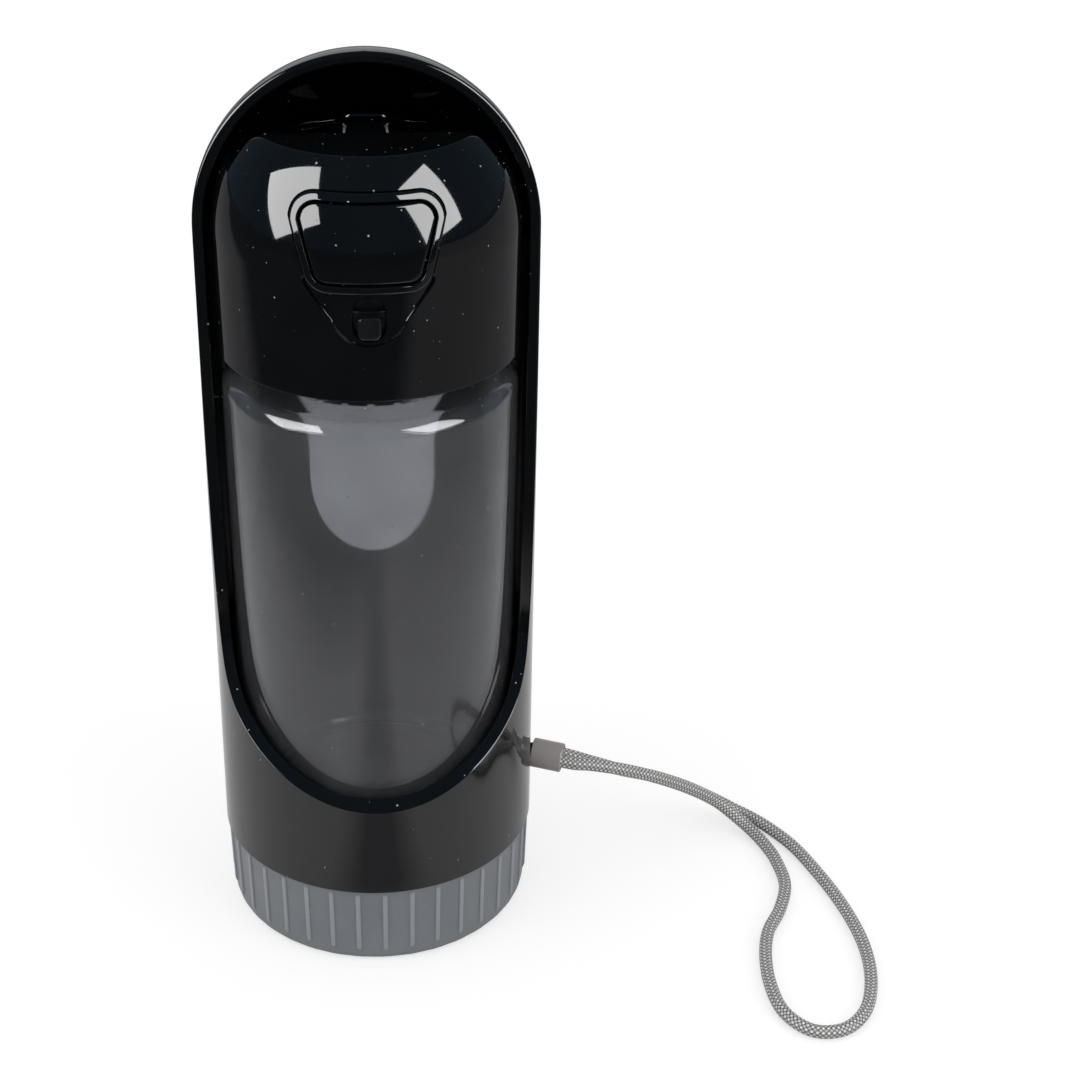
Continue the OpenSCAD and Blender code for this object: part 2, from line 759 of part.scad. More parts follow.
// Side outline of the front cut: a slope up from the lip, a bend and a leaning straight.
function cut_outline() =
    let (slope = tan(slope_deg), lean = tan(rim_lean_deg))
    let (z = (lip_z + slope * (shell_r - lean * rim_top_z)) / (1 - slope * lean))
    let (corner = [lean * (z - rim_top_z), z])
    let (run_in = rim_bend_r * tan((90 - rim_lean_deg - slope_deg) / 2))
    let (start = corner - run_in * [cos(slope_deg), sin(slope_deg)])
    let (centre = start + rim_bend_r * [-sin(slope_deg), cos(slope_deg)])
    concat(
        [[-far, lip_z - (far - shell_r) * slope]],
        arc(centre, rim_bend_r, slope_deg - 90, -rim_lean_deg, 14),
        [[lean * (shell_top + 20 - rim_top_z), shell_top + 20], [-far, shell_top + 20]]);

// Outline of the back slot, with a deep curved lower end.
function slot_outline() = concat(
    arc([slot_w / 2 - slot_corner_r, slot_top_z - slot_corner_r], slot_corner_r, 0, 90, 6),
    arc([slot_corner_r - slot_w / 2, slot_top_z - slot_corner_r], slot_corner_r, 90, 180, 6),
    ellipse_arc([0, slot_low_z + slot_tip_h], slot_w / 2, slot_tip_h, 180, 360, 24));

module trough_shell() {
    color("#0a0b0c") difference() {
        union() {
            difference() {
                capsule(shell_r, seam_z);
                capsule(bore_r, seam_z - 1);
            }
            for (a = [48, 75, -48, -75])
                rotate([0, 0, a]) translate([-rail_w / 2, rail_r, seam_z + spigot_h + 2])
                    cube([rail_w, rail_depth + 0.8, dome_z - seam_z - spigot_h - 8]);
        }
        prism_x(cut_outline(), -far, far);
        prism_y(slot_outline(), half_y, far);
        translate([0, 0, ferrule_z]) rotate([0, 90, 0]) cylinder(r = anchor_r + run, h = far);
    }
}

// ---- Lanyard ----

module lanyard_stub(g) {
    translate([0, 0, ferrule_z]) rotate([0, 90, 0]) cylinder(r = anchor_r + g, h = ferrule_x + 2 + g);
}

module lanyard_anchor() {
    color("#2a2b2d") union() {
        difference() {
            lanyard_stub(0);
            cube([2 * bore_r - 3, 4 * anchor_r, 2 * shell_top], center = true);
        }
        translate([bore_r - 1.5, 0, ferrule_z]) rotate([0, 90, 0]) cylinder(r = 2 * anchor_r, h = 0.8);
    }
}

module lanyard_ferrule() {
    color("#96908f") difference() {
        translate([ferrule_x, 0, ferrule_z]) rotate([0, 90 + ferrule_tilt, -ferrule_turn]) difference() {
            union() {
                cylinder(r = ferrule_r, h = ferrule_l - 0.5);
                translate([0, 0, ferrule_l - 0.5]) cylinder(r1 = ferrule_r, r2 = ferrule_r - 0.2, h = 0.5);
            }
            translate([0, 0, ferrule_l - pocket_deep]) linear_extrude(far) pair_outline(cord_d / 2 + run);
        }
        lanyard_stub(run);
    }
}

// Slot with round ends that the two ends of the cord fill.
module pair_outline(r) {
    union() {
        translate([0, -pair / 2]) circle(r = r);
        translate([0, pair / 2]) circle(r = r);
        translate([-r, -pair / 2]) square([2 * r, pair]);
    }
}

// Faces of a closed tube of n rings with m sides.
function tube_faces(n, m) = concat(
    [for (i = [0:n - 2]) for (k = [0:m - 1])
        [i * m + k, i * m + (k + 1) % m, (i + 1) * m + (k + 1) % m]],
    [for (i = [0:n - 2]) for (k = [0:m - 1])
        [i * m + k, (i + 1) * m + (k + 1) % m, (i + 1) * m + k]],
    [[for (k = [m - 1:-1:0]) k], [for (k = [0:m - 1]) (n - 1) * m + k]]);

// Smooth curve through the cord's points: two rings on each span.
function cord_at(i, t) =
    let (n = len(cord_points) - 1)
    let (a = cord_points[max(i - 1, 0)], b = cord_points[i])
    let (c = cord_points[min(i + 1, n)], d = cord_points[min(i + 2, n)])
    0.5 * (2 * b + (c - a) * t + (2 * a - 5 * b + 4 * c - d) * t * t + (3 * b - a - 3 * c + d) * t * t * t);

module lanyard_cord() {
    spans = len(cord_points) - 1;
    line = concat([for (i = [0:spans - 1]) for (t = [0, 0.5]) cord_at(i, t)], [cord_points[spans]]);
    count = len(line);
    tangents = [for (i = [0:count - 1])
        let (d = line[min(i + 1, count - 1)] - line[max(i - 1, 0)]) d / norm(d)];
    rings = [for (i = [0:count - 1])
        let (side = cross(tangents[i], [0, 0, 1]), u = side / norm(side), v = cross(u, tangents[i]))
        [for (k = [0:cord_sides - 1]) let (a = 22.5 + 360 * k / cord_sides)
            line[i] + cord_d / 2 * (cos(a) * u + sin(a) * v)]];
    steps = [for (i = [1:count - 1]) norm(line[i] - line[i - 1])];
    echo(cord_length = steps * [for (s = steps) 1], cord_gap = least_gap(line, 4, cord_d));
    skin = [for (r = rings) for (p = r) p];
    color("#a9abac") polyhedron(points = skin, faces = tube_faces(count, cord_sides));
}

base_cup();
base_gasket();
bottle();
neck_collar();
neck_seal();
valve_body();
stem_gland();
valve_stem();
valve_seal();
valve_spring();
vent_valve();
outlet_nozzle();
bell_crank();
crank_pin();
head_housing();
deck_plate();
button_bezel();
press_button();
lock_slider();
slider_keeper();
head_screws();
guide_key();
trough_shell();
lanyard_anchor();
lanyard_ferrule();
lanyard_cord();
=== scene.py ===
# %% [markdown]
# # A dog's travel water bottle
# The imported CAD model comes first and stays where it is. Every piece made here sits in the same frame,
# in metres, with +Z up and the button facing -Y. Each piece stands for a CAD node and moves with its body.

# %% The frame
import json
from math import acos, asin, atan2, cos, pi, radians, sin, sqrt, tan
import bmesh
import bpy
from mathutils import Matrix, Vector

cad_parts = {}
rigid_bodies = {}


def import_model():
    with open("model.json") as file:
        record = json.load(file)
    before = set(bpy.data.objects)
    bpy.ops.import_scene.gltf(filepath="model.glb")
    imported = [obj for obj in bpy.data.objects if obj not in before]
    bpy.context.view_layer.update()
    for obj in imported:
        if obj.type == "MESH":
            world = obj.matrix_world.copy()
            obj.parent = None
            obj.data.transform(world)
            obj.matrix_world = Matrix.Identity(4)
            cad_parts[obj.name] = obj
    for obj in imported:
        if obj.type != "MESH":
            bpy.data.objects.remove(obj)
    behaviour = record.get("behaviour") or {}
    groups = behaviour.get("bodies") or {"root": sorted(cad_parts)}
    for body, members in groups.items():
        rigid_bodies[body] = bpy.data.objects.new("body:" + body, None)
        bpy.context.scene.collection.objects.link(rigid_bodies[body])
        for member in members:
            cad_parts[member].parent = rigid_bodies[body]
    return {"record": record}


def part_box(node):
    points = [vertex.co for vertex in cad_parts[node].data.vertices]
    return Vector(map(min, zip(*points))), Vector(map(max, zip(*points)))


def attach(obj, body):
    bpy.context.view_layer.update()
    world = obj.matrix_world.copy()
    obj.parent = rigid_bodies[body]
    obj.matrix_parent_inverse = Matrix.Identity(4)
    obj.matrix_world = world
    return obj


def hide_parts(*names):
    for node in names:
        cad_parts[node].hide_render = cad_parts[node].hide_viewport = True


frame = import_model()
bpy.context.view_layer.update()
MM = 0.001

# %% [markdown]
# ## Camera
# A product shot is taken with a short tele lens from a little over half a metre, looking 29 degrees down.
# The camera could be aimed by eye, but here its place and angles were measured from the picture, so that
# the model's edges fall on the same lines. The turn is written as three axes, because the picture also
# leans by a little over a degree.

# %% Camera at the photograph's place
CAMERA_PLACE = Vector((0.0, -0.4537, 0.3467))
YAW, PITCH, ROLL = -0.0866, 0.5038, 0.0221    # radians
FOCAL_MM, SENSOR_MM = 72.95, 36

ahead = Vector((-sin(YAW), cos(YAW), 0))
level = Vector((cos(YAW), sin(YAW), 0))
above = Vector((0, 0, 1))
look = ahead * cos(PITCH) - above * sin(PITCH)
tipped = above * cos(PITCH) + ahead * sin(PITCH)
right = level * cos(ROLL) + tipped * sin(ROLL)
up = tipped * cos(ROLL) - level * sin(ROLL)

lens = bpy.data.cameras.new("camera")
lens.lens = FOCAL_MM
lens.sensor_width = SENSOR_MM
lens.clip_start = 0.01
lens.clip_end = 20
camera = bpy.data.objects.new("camera", lens)
camera.matrix_world = Matrix((
    (right.x, up.x, -look.x, CAMERA_PLACE.x),
    (right.y, up.y, -look.y, CAMERA_PLACE.y),
    (right.z, up.z, -look.z, CAMERA_PLACE.z),
    (0, 0, 0, 1)))
bpy.context.scene.collection.objects.link(camera)
bpy.context.scene.camera = camera
bpy.context.scene.view_settings.view_transform = "Standard"
print("camera", [round(x, 3) for x in camera.location])

# %% [markdown]
# ## Helpers for pieces
# Two tools make most of the shapes. A skin is a flat grid whose points are moved onto a surface, with
# one column for each step round the piece, as a mould maker would lay out a part. A turned piece is a
# profile spun round its axis, as on a lathe. Both leave clean rows of faces that reflect smoothly.

# %% A mesh becomes a piece that rides on its body
def add_piece(bm, name, body, smooth=32):
    """Links the mesh as a piece on a CAD body. Edges steeper than smooth degrees stay sharp."""
    mesh = bpy.data.meshes.new(name)
    bm.to_mesh(mesh)
    bm.free()
    mesh.shade_smooth()
    mesh.set_sharp_from_angle(angle=radians(smooth))
    piece = bpy.data.objects.new(name, mesh)
    bpy.context.scene.collection.objects.link(piece)
    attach(piece, body)
    print(name, len(mesh.polygons), "faces")
    return piece


# %% A grid laid on a surface
def lay_skin(columns, rows, place, uv=False):
    """A grid of columns by rows faces, each point moved to place(column, row)."""
    bm = bmesh.new()
    if uv:
        bm.loops.layers.uv.new("UVMap")
    bmesh.ops.create_grid(bm, x_segments=columns, y_segments=rows, size=0.5, calc_uvs=uv)
    for v in bm.verts:
        column = round((v.co.x + 0.5) * columns)
        row = round((v.co.y + 0.5) * rows)
        v.co = place(column, row)
    return bm


SEAM_GAP = 2e-6          # metres: points of a seam this close become one


def close_skin(bm):
    """Merges the seam of a skin, drops edges that bear no face and turns its faces outwards."""
    bmesh.ops.remove_doubles(bm, verts=bm.verts, dist=SEAM_GAP)
    bmesh.ops.delete(bm, geom=[e for e in bm.edges if not e.link_faces], context="EDGES")
    bmesh.ops.recalc_face_normals(bm, faces=bm.faces)
    if bm.calc_volume(signed=True) < 0:
        bmesh.ops.reverse_faces(bm, faces=bm.faces)
    return bm


def fill_ends(bm, sides, gap):
    """Merges the seam of an open skin, closes each open end with one face and turns all faces outwards."""
    bmesh.ops.remove_doubles(bm, verts=bm.verts, dist=gap)
    bmesh.ops.holes_fill(bm, edges=[e for e in bm.edges if e.is_boundary], sides=sides)
    bmesh.ops.recalc_face_normals(bm, faces=bm.faces)
    return bm


# %% A profile turned round an axis
def turn(profile, steps, centre=(0, 0)):
    """Spins a closed profile of (radius, height) points, in mm, round a vertical axis at centre."""
    bm = bmesh.new()
    points = [bm.verts.new(((centre[0] + r) * MM, centre[1] * MM, z * MM)) for r, z in profile]
    edges = [bm.edges.new(pair) for pair in zip(points, points[1:] + points[:1])]
    bmesh.ops.spin(bm, geom=points + edges, cent=(centre[0] * MM, centre[1] * MM, 0), axis=(0, 0, 1),
                   dvec=(0, 0, 0), angle=2 * pi, steps=steps, use_merge=True, use_duplicate=False)
    return close_skin(bm)


# %% Lines, measured and divided
TINY = 1e-12             # stands for the length of a span that has none


def spread(first, last, steps):
    """Even steps from first to last, both counted."""
    return [first + (last - first) * i / steps for i in range(steps + 1)]


def walked(points):
    """The length of a line up to each of its points."""
    lengths = [0]
    for a, b in zip(points, points[1:]):
        lengths.append(lengths[-1] + (b - a).length)
    return lengths


def at_even_steps(points, count):
    """The same line with count + 1 points an even length apart."""
    lengths = walked(points)
    made, i = [], 0
    for k in range(count + 1):
        at = lengths[-1] * k / count
        while i < len(points) - 2 and lengths[i + 1] < at:
            i += 1
        span = max(lengths[i + 1] - lengths[i], TINY)
        made.append(points[i].lerp(points[i + 1], (at - lengths[i]) / span))
    return made


def curve(a, corner, b, steps):
    """Points of a round from a to b that leaves and arrives along the lines to the corner."""
    return [(1 - t) ** 2 * a + 2 * t * (1 - t) * corner + t * t * b for t in spread(0, 1, steps)]


# %% [markdown]
# ## Wrist cord
# The cord is a limp braid 3.2 mm thick. Both its ends sit in the ferrule, it falls to the ground beside
# the bottle and lies there in a loop. Its points are the CAD route's. It could be a curve with a round
# bevel, but then its braid would be paint only, so it is a tube laid on the route, whose points stand
# out and in with the crossing strands.

# %% The route of the cord
CORD_R = 1.6 * MM
SPAN_PARTS = 24          # steps on each span between two points
CORD_STEP = 0.26 * MM
CORD_POINTS = [[45.2, 0.2, 34.5], [49.6, -0.1, 33.1], [54, 0.6, 31], [62, 2.8, 26.7], [71, 7.4, 21.2],
    [80.6, 13.4, 13.4], [89.8, 17.2, 5.9], [94.4, 17, 3.1], [98.6, 14.8, 1.9], [102.8, 10, 1.65],
    [107.2, 2.9, 1.65], [110.6, -5.4, 1.65], [115, -19.6, 1.65], [117.6, -33.2, 1.65],
    [118, -44.6, 1.65], [116.4, -55, 1.65], [113, -63.4, 1.65], [107, -68.8, 1.65],
    [99.6, -68.6, 1.65], [94.2, -62, 1.65], [92.6, -52, 1.65], [93.2, -41.6, 1.65],
    [95.4, -32.4, 1.65], [99.8, -23.8, 1.65], [102.8, -14, 1.65], [102.2, -4, 1.65],
    [100.6, 2.4, 1.7], [98.2, 7.8, 2.1], [95, 11.4, 3.6], [88.6, 12.8, 8.8], [79.9, 8.5, 16.6],
    [70.2, 2.6, 24.5], [61.2, -1.6, 30], [53.2, -3.4, 32.9], [49, -3.9, 33.7], [44.3, -3.3, 34.5]]


def smooth_route(points, parts):
    """A smooth curve through the points, with parts steps on each span."""
    p = [Vector(q) * MM for q in points]
    last = len(p) - 1
    line = []
    for i in range(last):
        a, b, c, d = p[max(i - 1, 0)], p[i], p[i + 1], p[min(i + 2, last)]
        for k in range(parts):
            t = k / parts
            line.append(0.5 * (2 * b + (c - a) * t + (2 * a - 5 * b + 4 * c - d) * t * t
                               + (3 * b - a - 3 * c + d) * t * t * t))
    return line + [p[last]]


cord_line = smooth_route(CORD_POINTS, SPAN_PARTS)
cord_length = walked(cord_line)[-1]
route = at_even_steps(cord_line, round(cord_length / CORD_STEP))
print("cord", len(route), "points,", round(cord_length, 4), "m")

# %% Frames that follow the cord without twisting
along = [(route[min(i + 1, len(route) - 1)] - route[max(i - 1, 0)]).normalized()
         for i in range(len(route))]
side = along[0].cross(Vector((0, 0, 1))).normalized()
cord_frames = []
for direction in along:
    side = (side - direction * side.dot(direction)).normalized()
    cord_frames.append((side.copy(), direction.cross(side)))

# %% Braided tube on the route
CORD_SIDES = 48
BRAID_TURNS = 8          # strands each way round
BRAID_PITCH = 9.2 * MM   # length in which a strand goes once round
BRAID_DEEP = 0.11 * MM


def braid_height(turn_share, at):
    """How far a strand stands out, from 0 to 1, at a share of the turn and a length."""
    a = BRAID_TURNS * (turn_share + at / BRAID_PITCH)
    b = BRAID_TURNS * (turn_share - at / BRAID_PITCH)
    one, two = abs(sin(pi * a)), abs(sin(pi * b))
    over = 0.5 + 0.5 * sin(pi * (a + b)) * (1 if int(a - b) % 2 else -1)
    return (one ** 0.5) * over + (two ** 0.5) * (1 - over)


def cord_place(column, row):
    """The place of a point of the tube: column steps round, row steps along."""
    share = column / CORD_SIDES
    angle = 2 * pi * share
    u, v = cord_frames[row]
    at = cord_length * row / (len(route) - 1)
    r = CORD_R - BRAID_DEEP * (1 - braid_height(share, at))
    return route[row] + r * (u * cos(angle) + v * sin(angle))


cord_mesh = fill_ends(lay_skin(CORD_SIDES, len(route) - 1, cord_place, uv=True), CORD_SIDES + 1, 1e-7)
wrist_cord = add_piece(cord_mesh, "wrist_cord", "shell", smooth=80)
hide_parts("lanyard_cord")

# %% [markdown]
# ## Shell
# The real shell is one moulded piece of gloss black plastic: a tube closed by a dome, with its front cut
# away along a ruled path and its edge rounded by the mould. A Boolean cut with a bevel would leave odd
# faces where a black surface shows every dent. So the shell is one skin: each column starts on the foot,
# climbs the outside to the rim, goes round the rounded edge and comes down the inside.

# %% Sizes of the shell, from the CAD box
low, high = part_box("trough_shell")
SHELL_TOP = round(high.z / MM, 1)
SHELL_R = round(-low.x / MM, 1)
SEAM_Z = round(low.z / MM, 1)
WALL = 2.5
BORE_R = SHELL_R - WALL
DOME_Z = SHELL_TOP - SHELL_R
LIP_Z, SLOPE, BEND_R, LEAN = 45.3, radians(41), 35, radians(4.5)
RIM_TOP_Z = SHELL_TOP - 8.5
print("shell", round(SHELL_R, 2), round(SEAM_Z, 2), round(SHELL_TOP, 2))


# %% The form under most pieces: a drum under a dome
def dome_normal(p):
    """Outward direction of the drum and dome at a point in mm."""
    return Vector((p[0], p[1], max(0, p[2] - DOME_Z))).normalized()


def on_form(x, z, r, face):
    """The point of the drum and dome of radius r at x and z, in front (-1) or behind (1)."""
    rise = max(0, z - DOME_Z)
    return Vector((x, face * sqrt(max(0, r * r - x * x - rise * rise)), z)) * MM


def from_pole(flat, r):
    """The point of the form of radius r that lies at flat on a chart round the top of the dome."""
    rho, angle = flat.length, atan2(flat.y, flat.x)
    quarter = r * pi / 2
    if rho < quarter:
        a = rho / r
        return Vector((r * sin(a) * cos(angle), r * sin(a) * sin(angle), DOME_Z + r * cos(a)))
    return Vector((r * cos(angle), r * sin(angle), DOME_Z - (rho - quarter)))


def to_pole(p, r):
    """The reverse: where a point of the form lies on the chart."""
    if p.z > DOME_Z:
        rho = r * acos(max(-1, min(1, (p.z - DOME_Z) / r)))
    else:
        rho = r * pi / 2 + DOME_Z - p.z
    angle = atan2(p.y, p.x)
    return Vector((rho * cos(angle), rho * sin(angle)))


# %% The front cut, as a path in the Y-Z plane
def cut_path():
    """Points of the cut from the lip to above the dome: slope, bend and leaning straight."""
    slope, lean = tan(SLOPE), tan(LEAN)
    z = (LIP_Z + slope * (SHELL_R - lean * RIM_TOP_Z)) / (1 - slope * lean)
    corner = Vector((lean * (z - RIM_TOP_Z), z))
    run_in = BEND_R * tan((pi / 2 - LEAN - SLOPE) / 2)
    start = corner - run_in * Vector((cos(SLOPE), sin(SLOPE)))
    centre = start + BEND_R * Vector((-sin(SLOPE), cos(SLOPE)))
    path = [Vector((-SHELL_R, LIP_Z))]
    path += [centre + BEND_R * Vector((cos(a), sin(a))) for a in spread(SLOPE - pi / 2, -LEAN, 60)]
    path.append(Vector((lean * (SHELL_TOP + 1 - RIM_TOP_Z), SHELL_TOP + 1)))
    return path


def half_rim(r, count):
    """The rim on the form of radius r, from the middle of the lip up to the middle of the dome."""
    path = at_even_steps(cut_path(), 3000)
    rim = []
    for y, z in path:
        rise = max(0, z - DOME_Z)
        left = r * r - y * y - rise * rise
        if left >= 0:
            rim.append(Vector((sqrt(left), y, z)))
        elif rim:
            break
    rim[0].x = 0
    rim.append(Vector((0, rim[-1].y, rim[-1].z)))
    return at_even_steps(rim, count)


HALF = 150               # columns on each side
outer_rim, inner_rim = half_rim(SHELL_R, HALF), half_rim(BORE_R, HALF)
print("rim from", [round(x, 1) for x in outer_rim[0]], "to", [round(x, 1) for x in outer_rim[-1]])

# %% Columns of the shell: foot, outside, rounded rim, inside
OUTSIDE, INSIDE, ROUND_OUT, ROUND_IN = 84, 50, 6, 4
EDGE_OUT, EDGE_IN = 0.9, 0.6


def wall_line(rim, foot_angle, r, count, from_rim):
    """Points down the wall from just below the rim to the foot, straight on the chart, closer above."""
    top = to_pole(rim, r)
    reach = r * pi / 2 + DOME_Z - SEAM_Z
    foot = Vector((cos(foot_angle), sin(foot_angle))) * reach
    start = from_rim / (foot - top).length
    return [from_pole(top.lerp(foot, start + (1 - start) * t ** 1.15), r) for t in spread(0, 1, count)]


def shell_column(i):
    """One column, from the foot up the outside, round the rim and down the inside."""
    side = 1 if i <= HALF else -1
    k = i if i <= HALF else 2 * HALF - i
    outer, inner = outer_rim[k].copy(), inner_rim[k].copy()
    outer.x, inner.x = side * outer.x, side * inner.x
    foot_angle = -pi / 2 + side * pi * k / HALF
    outside = wall_line(outer, foot_angle, SHELL_R, OUTSIDE, EDGE_OUT)
    inside = wall_line(inner, foot_angle, BORE_R, INSIDE, EDGE_IN)
    across = (inner - outer).normalized()
    land_a, land_b = outer + across * EDGE_OUT, inner - across * EDGE_IN
    return (outside[:0:-1] + curve(outside[0], outer, land_a, ROUND_OUT)
            + curve(land_b, inner, inside[0], ROUND_IN) + inside[1:])


shell_columns = [shell_column(i) for i in range(2 * HALF)]
shell_rows = len(shell_columns[0])
shell_mesh = lay_skin(2 * HALF, shell_rows, lambda i, j:
                      shell_columns[i % (2 * HALF)][j % shell_rows] * MM)
close_skin(shell_mesh)
print("shell skin", 2 * HALF, "columns of", shell_rows)

# %% [markdown]
# The slot in the back is cut with a Boolean, because it is a plain hole in an even wall. The tool that
# cuts it is flared at both faces of the wall, which leaves the small round that a mould has there. After
# the cut the vertices get the true normals of the tube and dome, so no face of the cut shows as a dent.

# %% Outlines as points in the X-Z plane
def arc(x, z, r, first, last, steps=10):
    """Points of an arc about (x, z), from one angle to another in degrees."""
    return [(x + r * cos(radians(a)), z + r * sin(radians(a))) for a in spread(first, last, steps)]


def corner_arc(*given):
    """The same arc as vectors, for an outline."""
    return [Vector(p) for p in arc(*given)]


def close_evenly(points, count):
    """The closed outline with count points an even length apart, without the last one twice."""
    return at_even_steps(points + [points[0]], count)[:count]


def outward(outline):
    """The outward normal at each point of an outline that runs anticlockwise."""
    count = len(outline)
    made = []
    for i in range(count):
        d = outline[(i + 1) % count] - outline[i - 1]
        made.append(Vector((d.y, -d.x)).normalized())
    return made


def rounded_box(half, low, high, r):
    """Outline of an upright rectangle with round corners."""
    return (corner_arc(half - r, high - r, r, 0, 90) + corner_arc(r - half, high - r, r, 90, 180)
            + corner_arc(r - half, low + r, r, 180, 270) + corner_arc(half - r, low + r, r, 270, 360))


def lay_pad(outline, profile, rings, put):
    """A closed piece over an outline. The profile's points are (growth of the outline, height or radius).

    put(point, height) gives a point's place. Rings of faces close both ends. Without them the profile
    closes on itself and the piece is a ring.
    """
    normals = outward(outline)
    middle = sum(outline, Vector((0, 0))) / len(outline)
    rows = len(profile) + 2 * rings

    def place(column, row):
        i = column % len(outline)
        share = 1
        if row < rings:
            grow, height = profile[0]
            share = row / rings
        elif rings and row >= rings + len(profile):
            grow, height = profile[-1]
            share = (rows - row) / (rings + 1)
        else:
            grow, height = profile[(row - rings) % len(profile)]
        return put(middle.lerp(outline[i] + normals[i] * grow, share), height)

    return close_skin(lay_skin(len(outline), rows, place))


def pad_on_form(outline, profile, face=-1, rings=14):
    """A piece laid on the drum and dome, in front (-1) or behind (1)."""
    return lay_pad(outline, profile, rings, lambda p, r: on_form(p.x, p.y, r, face))


# %% Cutting a piece, and giving it the true normals of the form
def join_meshes(*meshes):
    """One bmesh that holds them all."""
    joined = bmesh.new()
    for bm in meshes:
        part = bpy.data.meshes.new("part")
        bm.to_mesh(part)
        bm.free()
        joined.from_mesh(part)
        bpy.data.meshes.remove(part)
    return joined


def carve(bm, tool):
    """The mesh less the tool, by an exact Boolean."""
    pieces = []
    for name, shape in (("stock", bm), ("tool", tool)):
        mesh = bpy.data.meshes.new(name)
        shape.to_mesh(mesh)
        shape.free()
        piece = bpy.data.objects.new(name, mesh)
        bpy.context.scene.collection.objects.link(piece)
        pieces.append(piece)
    cut = pieces[0].modifiers.new("cut", "BOOLEAN")
    cut.operation, cut.solver, cut.object = "DIFFERENCE", "EXACT", pieces[1]
    bpy.context.view_layer.update()
    done = pieces[0].evaluated_get(bpy.context.evaluated_depsgraph_get())
    made = bmesh.new()
    made.from_mesh(done.to_mesh())
    done.to_mesh_clear()
    for piece in pieces:
        mesh = piece.data
        bpy.data.objects.remove(piece)
        bpy.data.meshes.remove(mesh)
    bmesh.ops.dissolve_degenerate(made, dist=1e-7, edges=made.edges)
    return made


ON_FORM, ON_FLAT = 0.004, 0.002      # how near, in mm, a point is to the form or to a flat
ALIKE = 0.93                         # cosine between a face and the form


def true_normals(piece, radii, flats=()):
    """Gives corners on the form of one of the radii, or on a flat (axis, place), its exact normal."""
    mesh = piece.data
    normals = []
    fixed = 0
    for face in mesh.polygons:
        for k in face.loop_indices:
            p = mesh.vertices[mesh.loops[k].vertex_index].co / MM
            way = dome_normal(p)
            r = sqrt(p.x ** 2 + p.y ** 2 + max(0, p.z - DOME_Z) ** 2)
            sign = 1 if way.dot(face.normal) > 0 else -1
            normal = Vector(mesh.corner_normals[k].vector)
            if min(abs(r - q) for q in radii) < ON_FORM and abs(way.dot(face.normal)) > ALIKE:
                normal = way * sign
                fixed += 1
            for axis, at in flats:
                if abs(p.dot(axis) - at) < ON_FLAT and abs(axis.dot(face.normal)) > ALIKE:
                    normal = axis * (1 if axis.dot(face.normal) > 0 else -1)
                    fixed += 1
            normals.append(normal)
    mesh.normals_split_custom_set(normals)
    print(piece.name, fixed, "of", len(normals), "corners on the form")


# %% The slot's cutter: flared at both faces of the wall
SLOT_HALF, SLOT_TOP, SLOT_LOW, SLOT_TIP, SLOT_CORNER = 16, 172.4, 73.7, 24, 6
FLARE = 0.45


def slot_outline():
    """Outline of the back slot: round corners above, a deep curve below."""
    low = [Vector((SLOT_HALF * cos(a), SLOT_LOW + SLOT_TIP + SLOT_TIP * sin(a)))
           for a in spread(pi, 2 * pi, 60)]
    side, high = SLOT_HALF - SLOT_CORNER, SLOT_TOP - SLOT_CORNER
    return corner_arc(side, high, SLOT_CORNER, 0, 90) + corner_arc(-side, high, SLOT_CORNER, 90, 180) + low


def flare(r):
    """How far the cutter stands out at a radius: nothing in the wall, more at its faces."""
    near = min(abs(r - SHELL_R), abs(r - BORE_R))
    inside = BORE_R < r < SHELL_R
    return max(0, FLARE - near) ** 2 / FLARE * 1.6 if inside else FLARE * 1.6 + near * 0.8


slot_radii = [BORE_R - 3, BORE_R - 0.02, BORE_R + 0.1, BORE_R + 0.25, BORE_R + 0.45,
              SHELL_R - 0.45, SHELL_R - 0.25, SHELL_R - 0.1, SHELL_R + 0.02, SHELL_R + 3]
slot_profile = [(flare(r), r) for r in slot_radii]
slot_tool = pad_on_form(close_evenly(slot_outline(), 220), slot_profile, face=1, rings=3)
shell_mesh = carve(shell_mesh, slot_tool)
print("shell less slot", len(shell_mesh.faces), "faces")

# %% Guide rails inside the shell, and the finished piece
RAIL_DEEP, RAIL_W, RAIL_LOW, RAIL_HIGH, RAIL_STEPS = 1.2, 2.4, 27.8, 169.5, 30
RAILS_AT = (48, 75, -48, -75)        # degrees from the back
rail_section = [(-1, -0.2), (-1, 0.7), (-0.8, 0.93), (-0.55, 1),
                (0.55, 1), (0.8, 0.93), (1, 0.7), (1, -0.2)]


def rail_mesh(turn_deg):
    """One rail: its section swept up the wall, with its ends closed."""
    middle = pi / 2 + radians(turn_deg)

    def place(column, row):
        across, deep = rail_section[column % len(rail_section)]
        r = BORE_R - RAIL_DEEP * deep
        a = middle + across * RAIL_W / 2 / BORE_R
        return Vector((r * cos(a), r * sin(a), RAIL_LOW + (RAIL_HIGH - RAIL_LOW) * row / RAIL_STEPS)) * MM

    return fill_ends(lay_skin(len(rail_section), RAIL_STEPS, place), len(rail_section), 1e-6)


shell_mesh = join_meshes(shell_mesh, *[rail_mesh(a) for a in RAILS_AT])
shell = add_piece(shell_mesh, "shell", "shell")
true_normals(shell, (SHELL_R, BORE_R))
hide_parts("trough_shell")

# %% [markdown]
# ## Head
# The head is a second gloss black moulding under the shell's dome: a drum that closes as a dome, level on
# top, with its front part raised above the level back. The photograph shows each of its edges as a thin
# light line, so each edge needs a real round. The outside and the inside are one skin of columns, as on
# the shell, and the level faces are closed with one flat face each, which can't ripple.

